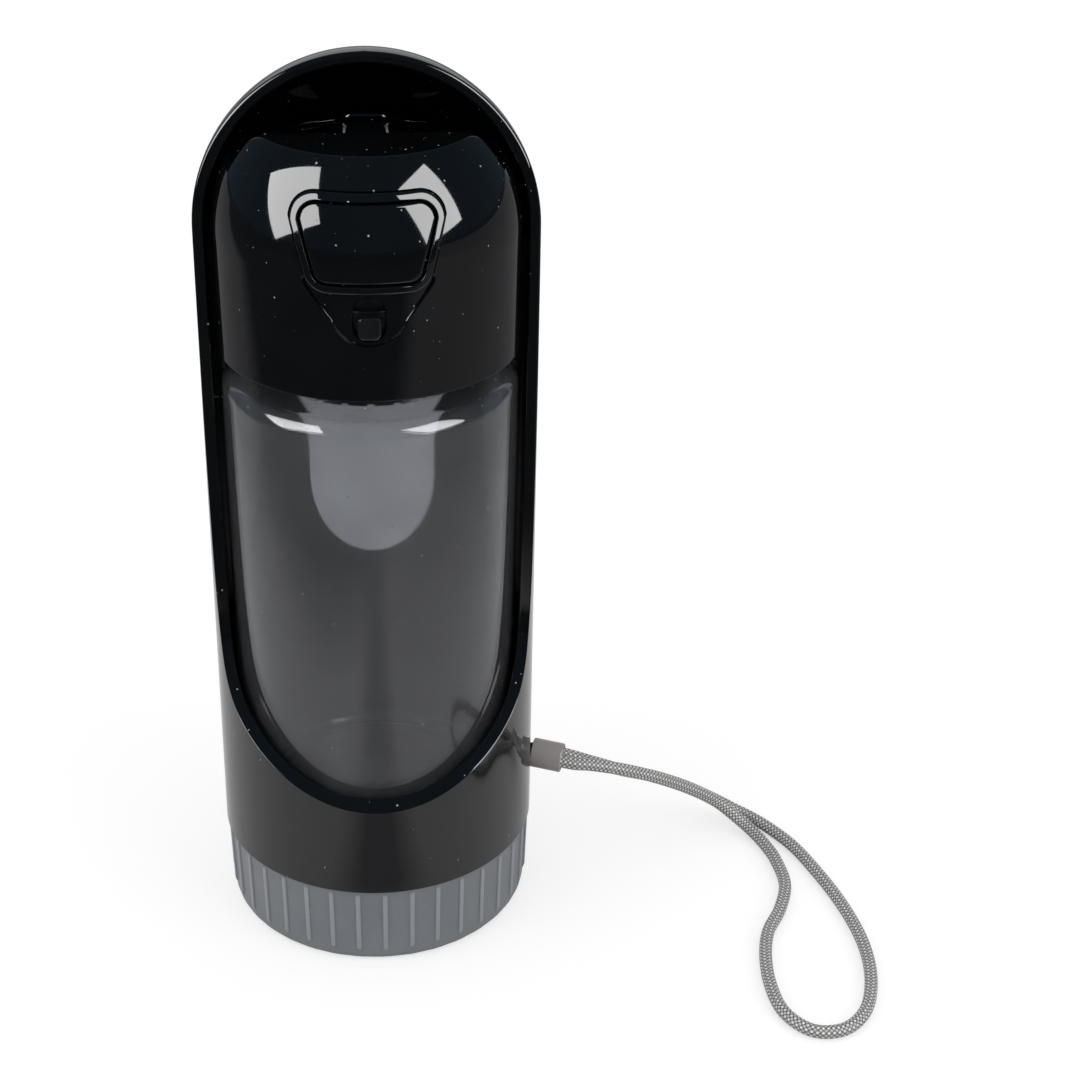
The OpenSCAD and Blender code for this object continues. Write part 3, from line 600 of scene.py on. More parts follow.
# %% Sizes of the head
head_low, head_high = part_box("head_housing")
HEAD_LOW = round(head_low.z / MM, 1)
HEAD_R = round(head_high.x / MM, 1)
RIDGE_Z = round(head_high.z / MM, 1)
HEAD_WALL = 2.0
BACK_Z, VISOR_Y, VISOR_ROUND = 190.5, -8.5, 6
EDGE = 0.5               # size of the outer rounds
print("head", HEAD_R, HEAD_LOW, RIDGE_Z)


# %% The edge round the top of the head
def head_edge(shrink, counts):
    """Half the top edge: along the ridge, round its corner, down the side and round the level back."""
    r, ridge, back = HEAD_R - shrink, RIDGE_Z - shrink, BACK_Z - shrink
    visor_y, corner = VISOR_Y - shrink, VISOR_ROUND - shrink
    side_r = sqrt(r * r - visor_y ** 2)
    rise = ridge - corner - DOME_Z
    corner_x = sqrt((side_r - corner) ** 2 - rise * rise)
    ridge_r = sqrt(r * r - (ridge - DOME_Z) ** 2)
    first, last = asin(corner_x / ridge_r), atan2(rise, corner_x)
    ridge_line = [Vector((ridge_r * sin(a), -ridge_r * cos(a), ridge))
                  for a in spread(0, first, counts[0])[:-1]]
    corner_line = []
    for a in spread(pi / 2, last, counts[1])[:-1]:
        x, z = corner_x + corner * cos(a), DOME_Z + rise + corner * sin(a)
        corner_line.append(Vector((x, -sqrt(max(visor_y ** 2, r * r - x * x - (z - DOME_Z) ** 2)), z)))
    low_a = asin((back - DOME_Z) / side_r)
    side_line = [Vector((side_r * cos(a), visor_y, DOME_Z + side_r * sin(a)))
                 for a in spread(last, low_a, counts[2])[:-1]]
    back_r = sqrt(r * r - (back - DOME_Z) ** 2)
    start = asin(visor_y / back_r)
    back_line = [Vector((back_r * cos(a), back_r * sin(a), back)) for a in spread(start, pi / 2, counts[3])]
    return ridge_line + corner_line + side_line + back_line


EDGE_COUNTS = (40, 14, 14, 60)
HEAD_HALF = sum(EDGE_COUNTS)
SIDE_END = sum(EDGE_COUNTS[:3])


# %% Columns of the head
def step_inward(k, edge):
    """The way in from the edge, on the step behind the raised front."""
    first_side = EDGE_COUNTS[0] + EDGE_COUNTS[1]
    if k < EDGE_COUNTS[0]:
        return Vector((0, 0, -1))
    if k < first_side:
        last = atan2(edge[first_side].z - DOME_Z, edge[first_side].x)
        a = pi / 2 + (last - pi / 2) * (k - EDGE_COUNTS[0]) / EDGE_COUNTS[1]
        return -Vector((cos(a), 0, sin(a)))
    return -Vector((edge[k].x, 0, edge[k].z - DOME_Z)).normalized()


def head_top(k, edge, shrink, size):
    """From the wall's last point over the edge to the level back, for the front and for the back."""
    visor_y, back = VISOR_Y - shrink, BACK_Z - shrink
    e = edge[k]
    wall_normal = (e - Vector((0, 0, DOME_Z))).normalized()
    if k >= SIDE_END:
        flat_in = Vector((-e.x, -e.y, 0)).normalized()
        slide = -(flat_in - wall_normal * flat_in.dot(wall_normal)).normalized()
        grown = min(1, (k - SIDE_END) / 6)
        small = size * (0.15 + 0.85 * grown)
        land, inner = e + flat_in * small, e + flat_in * (0.2 + 1.4 * grown)
        return curve(e + slide * small, e, land, 6) + [land.lerp(inner, t) for t in spread(0, 1, 8)[1:]]
    f = Vector((e.x, visor_y, e.z))
    small = min(size, 0.15 * size + max(e.z - back, 0) * 0.4)
    width = (f - e).length
    step_start = f + step_inward(k, edge) * small
    start = e - (Vector((0, 1, 0)) - wall_normal * wall_normal.y).normalized() * small
    blend = min(1, width / (2 * small))
    middle = e.lerp(f, 0.5)
    one = ((start + middle) / 2).lerp(e, blend)
    two = ((middle + step_start) / 2).lerp(f, blend)
    centre = (0.25 * start + 0.5 * middle + 0.25 * step_start).lerp(middle, blend)
    near = away = centre
    if width > 2 * small:
        near, away = e + Vector((0, small, 0)), f - Vector((0, small, 0))
    line = curve(start, one, near, 5) + curve(away, two, step_start, 5)
    foot = Vector((e.x, visor_y, back))
    return line + [step_start.lerp(foot, t) for t in spread(0, 1, 3)[1:]]


def head_column(i, shrink, size, rows):
    """A column from the lower edge up the wall, over the top edge and in to the level back."""
    side = 1 if i <= HEAD_HALF else -1
    k = i if i <= HEAD_HALF else 2 * HEAD_HALF - i
    r = HEAD_R - shrink
    edge = head_edges[shrink]
    top = head_top(k, edge, shrink, size)
    flat_top = to_pole(top[0], r)
    reach = r * pi / 2 + DOME_Z - HEAD_LOW
    angle = -pi / 2 + pi * head_shares[k]
    foot = Vector((cos(angle), sin(angle))) * reach
    wall = [from_pole(foot.lerp(flat_top, (j / rows) ** 0.85), r) for j in range(rows)]
    return [Vector((side * p.x, p.y, p.z)) for p in wall + top]


head_edges = {shrink: head_edge(shrink, EDGE_COUNTS) for shrink in (0, HEAD_WALL)}
edge_lengths = walked(head_edges[0])
head_shares = [x / edge_lengths[-1] for x in edge_lengths]

head_columns = []
for i in range(2 * HEAD_HALF):
    outside = head_column(i, 0, EDGE, 44)
    inside = head_column(i, HEAD_WALL, 0.2, 24)
    foot_out, foot_in = outside[0], inside[0]
    lower = curve(foot_in + Vector((0, 0, 0.3)), foot_in, foot_in.lerp(foot_out, 0.15), 2)
    lower += curve(foot_in.lerp(foot_out, 0.8), foot_out, foot_out + Vector((0, 0, 0.4)), 3)
    head_columns.append(inside[:0:-1] + lower + outside[1:])
head_rows = len(head_columns[0]) - 1
head_mesh = lay_skin(2 * HEAD_HALF, head_rows, lambda i, j: head_columns[i % (2 * HEAD_HALF)][j] * MM)
fill_ends(head_mesh, 2 * HEAD_HALF + 1, SEAM_GAP)
print("head skin", len(head_mesh.faces), "faces, open edges", sum(e.is_boundary for e in head_mesh.edges))

# %% [markdown]
# The button, the shield-shaped finger recess, the lock's slot and the drain deck are openings in that
# skin. They could be pushed into the columns, but their outlines cross them, so each is cut with a tool
# that carries its own rounds: a pad laid on the same dome, flared where it leaves the surface.

# %% The outlines on the front of the head
BUTTON_TOP, BUTTON_LOW = 191, 175
TOP_HALF, LOW_HALF, TOP_CORNER, LOW_CORNER = 14, 11.4, 3.8, 2.8
BUTTON_GAP, BEZEL_W = 0.4, 1.7
SHIELD_LOW, SHIELD_R, SHIELD_DEEP = 161.1, 8.4, 0.8
LOCK_LOW, LOCK_HIGH, LOCK_W = 161.9, 171.8, 6.9


def trapezoid(grow=0.0):
    """Outline of the button, with round corners, grown outwards."""
    return (corner_arc(TOP_HALF - TOP_CORNER, BUTTON_TOP - TOP_CORNER, TOP_CORNER + grow, 6, 90)
            + corner_arc(TOP_CORNER - TOP_HALF, BUTTON_TOP - TOP_CORNER, TOP_CORNER + grow, 90, 174)
            + corner_arc(LOW_CORNER - LOW_HALF, BUTTON_LOW + LOW_CORNER, LOW_CORNER + grow, 186, 270)
            + corner_arc(LOW_HALF - LOW_CORNER, BUTTON_LOW + LOW_CORNER, LOW_CORNER + grow, 270, 354))


def shield():
    """Outline of the finger recess: a round bottom and sides that rise to the button's frame."""
    side, top, corner = 11.6, 177.0, 2.0
    return (corner_arc(0, SHIELD_LOW + SHIELD_R, SHIELD_R, 200, 340, 40)
            + corner_arc(side, top - corner, corner, -30, 90)
            + corner_arc(-side, top - corner, corner, 90, 210))


def stadium(width, low, high):
    """Upright slot with round ends."""
    r = width / 2
    return corner_arc(0, high - r, r, 0, 180, 24) + corner_arc(0, low + r, r, 180, 360, 24)


# %% Cutting the front of the head
deep = HEAD_R - SHIELD_DEEP
shield_profile = [(-0.5, deep), (-0.15, deep + 0.05), (0, deep + 0.25), (0.02, HEAD_R - 0.3),
                  (0.1, HEAD_R - 0.1), (0.3, HEAD_R + 0.03), (1.2, HEAD_R + 2)]
hole_profile = [(0, HEAD_R - 5), (0, HEAD_R - 0.3), (0.05, HEAD_R - 0.1), (0.2, HEAD_R + 0.03),
                (0.8, HEAD_R + 2)]
hole = pad_on_form(close_evenly(trapezoid(BUTTON_GAP + BEZEL_W + 0.1), 150), hole_profile)
recess = pad_on_form(close_evenly(shield(), 150), shield_profile)
lock_profile = [(0, deep - 4), (0, deep - 0.3), (0.1, deep - 0.08), (0.36, deep + 0.12), (0.6, HEAD_R + 2)]
slot = pad_on_form(close_evenly(stadium(LOCK_W, LOCK_LOW, LOCK_HIGH), 72), lock_profile)
for opening in (hole, recess, slot):
    head_mesh = carve(head_mesh, opening)
print("head less its front openings", len(head_mesh.faces), "faces")


# %% Opening for the drain deck
def upright(outline, profile, rings=0):
    """A closed piece whose outline lies level. The profile's points are (growth, height)."""
    return lay_pad(outline, profile, rings, lambda p, z: Vector((p.x, p.y, z)) * MM)


DECK_R, DECK_FRONT, DECK_CORNER, DECK_TOP, DECK_UNDER = 27.5, -6.9, 1, 189.7, 188.5


def deck_outline():
    """Round at the back, straight behind the raised front, with small round corners."""
    y, r = DECK_FRONT + DECK_CORNER, DECK_R - DECK_CORNER
    start = asin(y / r)
    x = r * cos(start)
    back_round = [Vector((DECK_R * cos(a), DECK_R * sin(a))) for a in spread(start, pi - start, 80)]
    return (back_round + corner_arc(-x, y, DECK_CORNER, 190, 270, 5)
            + corner_arc(x, y, DECK_CORNER, 270, 350, 5))


deck_profile = [(0, DECK_UNDER - 3), (0, BACK_Z - 0.3), (0.08, BACK_Z - 0.1), (0.25, BACK_Z + 0.03),
                (0.8, BACK_Z + 2)]
head_mesh = carve(head_mesh, upright(close_evenly(deck_outline(), 200), deck_profile, rings=2))
head = add_piece(head_mesh, "head", "bottle_unit")
UP, BACK = Vector((0, 0, 1)), Vector((0, 1, 0))
true_normals(head, (HEAD_R, HEAD_R - HEAD_WALL, deep), [(UP, RIDGE_Z), (UP, BACK_Z), (BACK, VISOR_Y)])
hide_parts("head_housing")

# %% [markdown]
# ## Button, its frame, the lock and the key
# These are small mouldings that follow the head's dome. They could be flat blocks with a bevel, but then
# their faces would break the head's reflections. Their outlines are laid on the dome at growing and
# shrinking radii instead, so their faces curve with it and their edges are true rounds.

# %% Button and its frame
FRAME_R, FACE_R = HEAD_R + 0.6, HEAD_R + 0.35
FRAME_OUT = BUTTON_GAP + BEZEL_W
FLANGE_W, FLANGE_LOW, FLANGE_HIGH = 1.2, 31.0, 31.7
trapezoid_line = close_evenly(trapezoid(), 180)
frame_profile = [(BUTTON_GAP, FLANGE_LOW), (BUTTON_GAP, FRAME_R - 0.5), (BUTTON_GAP + 0.05, FRAME_R - 0.25),
                 (BUTTON_GAP + 0.2, FRAME_R - 0.07), (BUTTON_GAP + 0.45, FRAME_R),
                 (FRAME_OUT - 0.5, FRAME_R), (FRAME_OUT - 0.22, FRAME_R - 0.07),
                 (FRAME_OUT - 0.06, FRAME_R - 0.25), (FRAME_OUT, FRAME_R - 0.5), (FRAME_OUT, FLANGE_HIGH),
                 (FRAME_OUT + FLANGE_W, FLANGE_HIGH), (FRAME_OUT + FLANGE_W, FLANGE_LOW)]
frame_piece = add_piece(pad_on_form(trapezoid_line, frame_profile, rings=0), "button_frame", "bottle_unit",
                        smooth=40)
true_normals(frame_piece, (FRAME_R,))
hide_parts("button_bezel")

button_profile = [(0, 32.2), (0, 33.3), (0, FACE_R - 0.55), (-0.04, FACE_R - 0.3),
                  (-0.16, FACE_R - 0.12), (-0.36, FACE_R - 0.03), (-0.7, FACE_R)]
button = add_piece(pad_on_form(trapezoid_line, button_profile), "thumb_button", "button",
                   smooth=40)
true_normals(button, (FACE_R,))
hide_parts("press_button")

# %% Lock and key
KNOB_LOW, KNOB_HIGH, KNOB_HALF, KNOB_CORNER = 162.6, 167.8, 2.5, 1.4
KNOB_R = HEAD_R + 0.5
PLATE_LOW, PLATE_HALF, PLATE_CORNER = 158.6, 5.5, 0.6
PLATE_HIGH = round(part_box("lock_slider")[1].z / MM, 1)
knob_line = close_evenly(rounded_box(KNOB_HALF, KNOB_LOW, KNOB_HIGH, KNOB_CORNER), 64)
knob_profile = [(0, 31.6), (0, KNOB_R - 0.6), (-0.06, KNOB_R - 0.3), (-0.22, KNOB_R - 0.1),
                (-0.5, KNOB_R - 0.01), (-0.8, KNOB_R)]
plate_line = close_evenly(rounded_box(PLATE_HALF, PLATE_LOW, PLATE_HIGH, PLATE_CORNER), 96)
plate_profile = [(0, 30.4), (0, 31.6), (-0.1, 31.7)]
lock_mesh = join_meshes(pad_on_form(knob_line, knob_profile), pad_on_form(plate_line, plate_profile))
lock = add_piece(lock_mesh, "lock_knob", "lock")
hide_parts("lock_slider")

KEY_LOW, KEY_HIGH, KEY_HALF, KEY_CORNER = 149.0, 171.6, 15.7, 5
KEY_R, KEY_BACK_R = 37.6, 34.3
key_line = close_evenly(rounded_box(KEY_HALF, KEY_LOW, KEY_HIGH, KEY_CORNER), 140)
key_profile = [(0, KEY_BACK_R), (0, 36.9), (-0.06, 37.2), (-0.22, 37.45), (-0.5, 37.58), (-0.9, KEY_R)]
key = add_piece(pad_on_form(key_line, key_profile, face=1), "slot_key", "bottle_unit")
true_normals(key, (KEY_R, KEY_BACK_R))
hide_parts("guide_key")

# %% [markdown]
# ## Spout and deck
# Water leaves through an oval spout that stands on the drain deck behind the raised front. It could be
# pulled out of the riser's round end, but its lip is rolled and the oval meets the deck with a small round.
# So it is an upright ring with that profile, on a turned tube. The deck itself is the CAD node.

# %% Spout on its riser
RISER_Y, RISER_R, WATER_R, RISER_LOW = 14, 5, 3.6, 166.5
SPOUT_HALF, SPOUT_R, SPOUT_TOP = 2.9, 3.9, 195.0


def oval():
    """Outline of the spout: two half circles and two straights."""
    return (corner_arc(SPOUT_HALF, RISER_Y, SPOUT_R, -90, 90, 24)
            + corner_arc(-SPOUT_HALF, RISER_Y, SPOUT_R, 90, 270, 24))


spout_profile = [(0.45, DECK_TOP - 0.05), (0.42, DECK_TOP + 0.12), (0.15, DECK_TOP + 0.3),
                 (0, DECK_TOP + 0.6), (-0.1, 193.6), (-0.04, SPOUT_TOP - 0.75), (0, SPOUT_TOP - 0.5),
                 (-0.05, SPOUT_TOP - 0.2), (-0.25, SPOUT_TOP - 0.03), (-0.55, SPOUT_TOP),
                 (-0.9, SPOUT_TOP - 0.1), (-1.1, SPOUT_TOP - 0.35), (-1.2, SPOUT_TOP - 0.8),
                 (-1.2, DECK_TOP - 0.05)]
spout_mesh = upright(close_evenly(oval(), 96), spout_profile)
riser = turn([(WATER_R, RISER_LOW), (RISER_R, RISER_LOW), (RISER_R, DECK_TOP), (WATER_R, DECK_TOP)],
             steps=48, centre=(0, RISER_Y))
spout = add_piece(join_meshes(spout_mesh, riser), "spout", "bottle_unit")
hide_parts("outlet_nozzle")

# %% [markdown]
# ## Bottle
# The bottle is blow-moulded, so it is a turned form with an even wall, a soft shoulder and a round heel.
# Its inside has to be real as well, because clear plastic bends light at each face that it has. The
# profile runs up the outside and down the inside, and is spun once round.

# %% Turned bottle
BOTTLE_R = round(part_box("bottle")[1].x / MM, 1)
BOTTLE_WALL = 1.6
NECK_R, NECK_TOP, SHOULDER_Z, SHOULDER_R = 22.6, 155, 142.6, 4
HEEL_Z, HEEL_R, SKIRT_R, SKIRT_LOW = 23.3, 1.2, 30.8, 17.3
THREADS_AT = (147.8, 151.6)
inner_r = BOTTLE_R - BOTTLE_WALL


def thread(z):
    """One turn of thread on the neck, as a rounded ridge."""
    return [(NECK_R, z - 0.9), (NECK_R + 0.45, z - 0.55), (NECK_R + 0.7, z - 0.25),
            (NECK_R + 0.7, z + 0.25), (NECK_R + 0.45, z + 0.55), (NECK_R, z + 0.9)]


outside_line = ([(SKIRT_R, SKIRT_LOW), (SKIRT_R, HEEL_Z)]
                + arc(BOTTLE_R - HEEL_R, HEEL_Z + HEEL_R, HEEL_R, -90, 0)
                + [(BOTTLE_R, 60), (BOTTLE_R, 100)]
                + arc(BOTTLE_R - SHOULDER_R, SHOULDER_Z - SHOULDER_R, SHOULDER_R, 0, 90, 14))
neck_line = ([(NECK_R + 0.8, SHOULDER_Z + 0.5), (NECK_R + 0.2, SHOULDER_Z + 0.75),
              (NECK_R, SHOULDER_Z + 1.4)] + thread(THREADS_AT[0]) + thread(THREADS_AT[1])
             + [(NECK_R, NECK_TOP - 0.2), (NECK_R - 0.2, NECK_TOP), (NECK_R - 1.8, NECK_TOP),
                (NECK_R - 2, NECK_TOP - 0.2), (NECK_R - 2, SHOULDER_Z - 0.6)])
inside_line = (arc(inner_r - 3, SHOULDER_Z - BOTTLE_WALL - 3, 3, 90, 0, 12) + [(inner_r, 100), (inner_r, 60)]
               + arc(inner_r - 4, HEEL_Z + 6, 4, 0, -90, 12) + [(14, HEEL_Z + 2.5), (0, HEEL_Z + 3.2)])
under_line = [(0, HEEL_Z + 1.2), (14, HEEL_Z + 0.6), (26.8, HEEL_Z), (29, HEEL_Z - 0.6), (29, SKIRT_LOW)]
bottle_profile = outside_line + neck_line + inside_line + under_line
bottle = add_piece(turn(bottle_profile, steps=192), "bottle_body", "bottle_unit", smooth=35)
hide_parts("bottle")

# %% [markdown]
# ## Base
# The storage base is satin grey, with 36 grip ribs round it. The ribs could be boxes laid on a turned
# cup, but a moulded rib runs out smoothly into the wall, so the cup is one skin again: eight columns
# for each rib, which stand out where the rib is.

# %% Ribbed base cup
RIBS, RIB_OUT, RIB_TURN = 36, 0.45, radians(1.6)
RIB_W = 0.6 / 0.55       # mm across for each step: the flank stands at 0.55 and the rib is 1.2 mm wide
FOOT_R, BASE_R, SPIGOT_R, STORE_R, LAND_R, FLOOR_Z = 36.6, 37.2, 35.1, 33.8, 31.1, 2.5
RIB_LOW, RIB_HIGH, LAND_Z, SPIGOT_TOP = 3.5, 20.6, 15.8, 25.8
rib_steps = [(-0.95, 0.0), (-0.62, 0.03), (-0.5, 0.7), (-0.34, 1.0),
             (0.34, 1.0), (0.5, 0.7), (0.62, 0.03), (0.95, 0.0)]
base_profile = ([(0.0, 0.0), (20.0, 0.0)] + arc(FOOT_R - 2.5, 2.5, 2.5, -90, 0, 8)
                + [(FOOT_R + 0.02, 3.3), (FOOT_R + 0.04, 3.9), (FOOT_R + 0.1, 4.6), (FOOT_R + 0.3, 12),
                   (BASE_R - 0.05, 19.6), (BASE_R - 0.02, 20.3), (BASE_R, 20.8), (BASE_R, 21.2),
                   (BASE_R - 0.12, 21.55), (BASE_R - 0.5, SEAM_Z), (SPIGOT_R + 0.2, SEAM_Z),
                   (SPIGOT_R, SEAM_Z + 0.2), (SPIGOT_R, SPIGOT_TOP - 0.3), (SPIGOT_R - 0.3, SPIGOT_TOP),
                   (STORE_R, SPIGOT_TOP), (STORE_R, SEAM_Z), (LAND_R, SEAM_Z), (LAND_R, LAND_Z),
                   (STORE_R, LAND_Z), (STORE_R, FLOOR_Z + 1), (STORE_R - 1, FLOOR_Z), (0, FLOOR_Z)])


def rib_share(z):
    """How much of a rib stands at a height: it runs out at both ends."""
    rise = min((z - RIB_LOW) / 0.9, (RIB_HIGH - z) / 0.7, 1)
    return max(0, rise) ** 0.6


def base_place(column, row):
    """The place of a point of the cup: eight columns to a rib, and a row for each point of the profile."""
    r, z = base_profile[row % len(base_profile)]
    rib, step = divmod(column % (RIBS * len(rib_steps)), len(rib_steps))
    across, out = rib_steps[step]
    angle = RIB_TURN - pi / 2 + 2 * pi * rib / RIBS + across * RIB_W / BASE_R
    if r > FOOT_R - 0.5 and RIB_LOW < z < RIB_HIGH:
        r += RIB_OUT * out * rib_share(z)
    return Vector((r * cos(angle), r * sin(angle), z)) * MM


base_mesh = close_skin(lay_skin(RIBS * len(rib_steps), len(base_profile), base_place))
base = add_piece(base_mesh, "base_body", "base", smooth=50)
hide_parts("base_cup")

# %% [markdown]
# ## Ferrule
# The ferrule is a short turned sleeve, tipped a little down and to the front, whose bore the two ends of
# the cord fill. A cylinder would do for its outside, but light catches its rounded edges. So a profile with
# a round at each corner is spun about the sleeve's own axis, and then turned into place.

# %% Ferrule in its place
FERRULE_R, FERRULE_L, BORE_DEEP = 3.65, 7.8, 1.5
FERRULE_X, FERRULE_Z, FERRULE_DOWN, FERRULE_TURN = 38.6, 35.0, radians(95), radians(-16)


def rounded(profile, sizes, steps):
    """The closed profile with each corner rounded by its size in mm. A size of 0 leaves the corner."""
    made = []
    for i, size in enumerate(sizes):
        if not size:
            made.append(profile[i])
            continue
        before, corner, after = (Vector(profile[k % len(profile)]) for k in (i - 1, i, i + 1))
        start = corner + (before - corner).normalized() * size
        end = corner + (after - corner).normalized() * size
        made += curve(start, corner, end, steps)
    return made


ferrule_profile = rounded([(0, 0), (FERRULE_R, 0), (FERRULE_R, FERRULE_L), (FERRULE_R - 0.55, FERRULE_L),
                           (FERRULE_R - 0.8, FERRULE_L - BORE_DEEP), (0, FERRULE_L - BORE_DEEP)],
                          [0, 0.35, 0.4, 0.15, 0.2, 0], 5)
ferrule_mesh = turn(ferrule_profile, steps=72)
way = Matrix.Rotation(FERRULE_TURN, 4, "Z") @ Matrix.Rotation(FERRULE_DOWN, 4, "Y")
ferrule_mesh.transform(Matrix.Translation(Vector((FERRULE_X, 0, FERRULE_Z)) * MM) @ way)
ferrule = add_piece(ferrule_mesh, "ferrule", "shell", smooth=40)
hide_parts("lanyard_ferrule")

# %% [markdown]
# ## Finishes
# The real bottle is all moulded plastic, rubber and steel, with a braided cord. A gloss black part has
# almost no colour of its own: what the eye reads is how sharp its reflections are, the faint marks of
# hands, and dust. Those effects come back on every part, so each is a small node group, built once and
# placed in each material with its own values.

# %% Wiring helpers
def feed(tree, socket, value):
    """Links a socket to this input, or writes a plain value on it."""
    if isinstance(value, bpy.types.NodeSocket):
        tree.links.new(value, socket)
    else:
        socket.default_value = value


def add_node(tree, kind, inputs=(), **settings):
    """A shader node with its settings and its inputs, which are pairs of a name and a value."""
    made = tree.nodes.new("ShaderNode" + kind)
    for key, value in settings.items():
        setattr(made, key, value)
    for key, value in inputs:
        feed(tree, made.inputs[key], value)
    return made


def maths(tree, operation, *values):
    """The result of one Math node."""
    return add_node(tree, "Math", enumerate(values), operation=operation).outputs[0]


def fade(tree, value, first, last, a=0.0, b=1.0):
    """Turns the range first to last into a to b, and holds it at both ends."""
    return add_node(tree, "MapRange", [("Value", value), ("From Min", first), ("From Max", last),
                                       ("To Min", a), ("To Max", b)]).outputs[0]


def blend_colour(tree, share, a, b):
    """Colour a where share is 0 and colour b where it is 1."""
    return add_node(tree, "Mix", [(0, share), (6, a), (7, b)], data_type="RGBA").outputs[2]


def new_group(name, inputs, outputs):
    """A node group with named sockets, its input node and its output node."""
    group = bpy.data.node_groups.new(name, "ShaderNodeTree")
    for title, kind in inputs:
        group.interface.new_socket(title, in_out="INPUT", socket_type="NodeSocket" + kind)
    for title, kind in outputs:
        group.interface.new_socket(title, in_out="OUTPUT", socket_type="NodeSocket" + kind)
    given, result = group.nodes.new("NodeGroupInput"), group.nodes.new("NodeGroupOutput")
    return group, given.outputs, result.inputs


# %% [markdown]
# Dust settles as small separate specks, more of them on level faces. A noise pattern would look like
# stains. Voronoi cells give one centre each: a cell may carry a speck, and its own random number says
# whether it does and how large it is.

# %% Dust
dust_group, given, result = new_group(
    "dust", [("Place", "Vector"), ("Facing", "Vector"), ("Cells", "Float"), ("Share", "Float")],
    [("Speck", "Float")])
cells = add_node(dust_group, "TexVoronoi", [("Vector", given["Place"]), ("Scale", given["Cells"])])
lots = add_node(dust_group, "SeparateColor", [("Color", cells.outputs["Color"])]).outputs
facing = add_node(dust_group, "SeparateXYZ", [("Vector", given["Facing"])]).outputs
settled = fade(dust_group, facing["Z"], 0.1, 0.95, 0.6, 2.4)
level_share = maths(dust_group, "MULTIPLY", given["Share"], settled)
chosen = maths(dust_group, "LESS_THAN", lots["Red"], level_share)
speck_size = maths(dust_group, "MULTIPLY_ADD", maths(dust_group, "POWER", lots["Green"], 3.0), 0.14, 0.06)
edge = maths(dust_group, "SUBTRACT", speck_size, cells.outputs["Distance"])
feed(dust_group, result["Speck"], maths(dust_group, "MULTIPLY", chosen, fade(dust_group, edge, 0.0, 0.05)))
print("group", dust_group.name, len(dust_group.nodes), "nodes")

# %% [markdown]
# Hands leave wide soft smudges and wiping leaves hair-thin lines. Both only change how rough the surface
# is, so the group gives a roughness between a clean and a worn value.

# %% Handling marks
marks_group, given, result = new_group(
    "handling marks", [("Place", "Vector"), ("Clean", "Float"), ("Worn", "Float")],
    [("Roughness", "Float")])
smudge = add_node(marks_group, "TexNoise", [("Vector", given["Place"]), ("Scale", 38.0), ("Detail", 4.0)])
soft = fade(marks_group, smudge.outputs[0], 0.42, 0.66)
lines = []
for turned, squeeze in (((0.3, 0.5, 0.9), (60, 2600, 900)), ((0.9, -0.4, 0.2), (2400, 80, 1100))):
    laid = add_node(marks_group, "Mapping", [("Vector", given["Place"]), ("Rotation", turned),
                                             ("Scale", squeeze)])
    streak = add_node(marks_group, "TexNoise", [("Vector", laid.outputs[0]), ("Scale", 1.0),
                                                ("Detail", 1.0)])
    lines.append(fade(marks_group, streak.outputs[0], 0.7, 0.76))
line = maths(marks_group, "MAXIMUM", *lines)
wear = maths(marks_group, "MULTIPLY_ADD", line, 0.5, maths(marks_group, "MULTIPLY", soft, 0.6))
span = maths(marks_group, "SUBTRACT", given["Worn"], given["Clean"])
feed(marks_group, result["Roughness"], maths(marks_group, "MULTIPLY_ADD", wear, span, given["Clean"]))
print("group", marks_group.name, len(marks_group.nodes), "nodes")

# %% [markdown]
# A satin part takes its look from the spark-eroded wall of its mould: a fine even grain. A gloss part has
# the same shrinkage ripple that all thick plastic has, wide and very low. One group gives both heights.

# %% Mould grain
grain_group, given, result = new_group(
    "mould grain", [("Place", "Vector"), ("Cells", "Float")], [("Height", "Float"), ("Tone", "Float")])
fine = add_node(grain_group, "TexNoise", [("Vector", given["Place"]), ("Scale", given["Cells"]),
                                          ("Detail", 2.0)])
wide = add_node(grain_group, "TexNoise", [("Vector", given["Place"]), ("Scale", 90.0), ("Detail", 2.0)])
feed(grain_group, result["Height"], fine.outputs[0])
feed(grain_group, result["Tone"], fade(grain_group, wide.outputs[0], 0.3, 0.7))
print("group", grain_group.name, len(grain_group.nodes), "nodes")


# %% A moulded plastic or rubber finish
def place_group(tree, group, inputs):
    """The group's outputs, placed in this material with its own values."""
    used = tree.nodes.new("ShaderNodeGroup")
    used.node_tree = group
    for key, value in inputs:
        feed(tree, used.inputs[key], value)
    return used.outputs


def new_finish(name):
    """A material, its tree, its shader and its Object coordinates."""
    material = bpy.data.materials.new(name)
    material.use_nodes = True
    tree = material.node_tree
    return material, tree, tree.nodes["Principled BSDF"].inputs, add_node(tree, "TexCoord").outputs


DUST_GREY = (0.30, 0.31, 0.32, 1)
DUST_CELLS = 760.0       # cells in a metre
RIPPLE_CELLS = 160.0
RELIEF = 0.0001          # metres of relief that a Bump node takes as full height


def handled(tree, place, clean, worn):
    """Roughness with the marks of hands."""
    marks = [("Place", place["Object"]), ("Clean", clean), ("Worn", worn)]
    return place_group(tree, marks_group, marks)["Roughness"]


def dusted(tree, skin, place, share, body, roughness, rough_speck):
    """Feeds a colour and a roughness to the shader, with specks of dust over both."""
    speck = place_group(tree, dust_group, [("Place", place["Object"]), ("Facing", place["Normal"]),
                                           ("Cells", DUST_CELLS), ("Share", share)])["Speck"]
    feed(tree, skin["Base Color"], blend_colour(tree, speck, body, DUST_GREY))
    rough_there = maths(tree, "MULTIPLY", speck, rough_speck)
    feed(tree, skin["Roughness"], maths(tree, "MAXIMUM", roughness, rough_there))


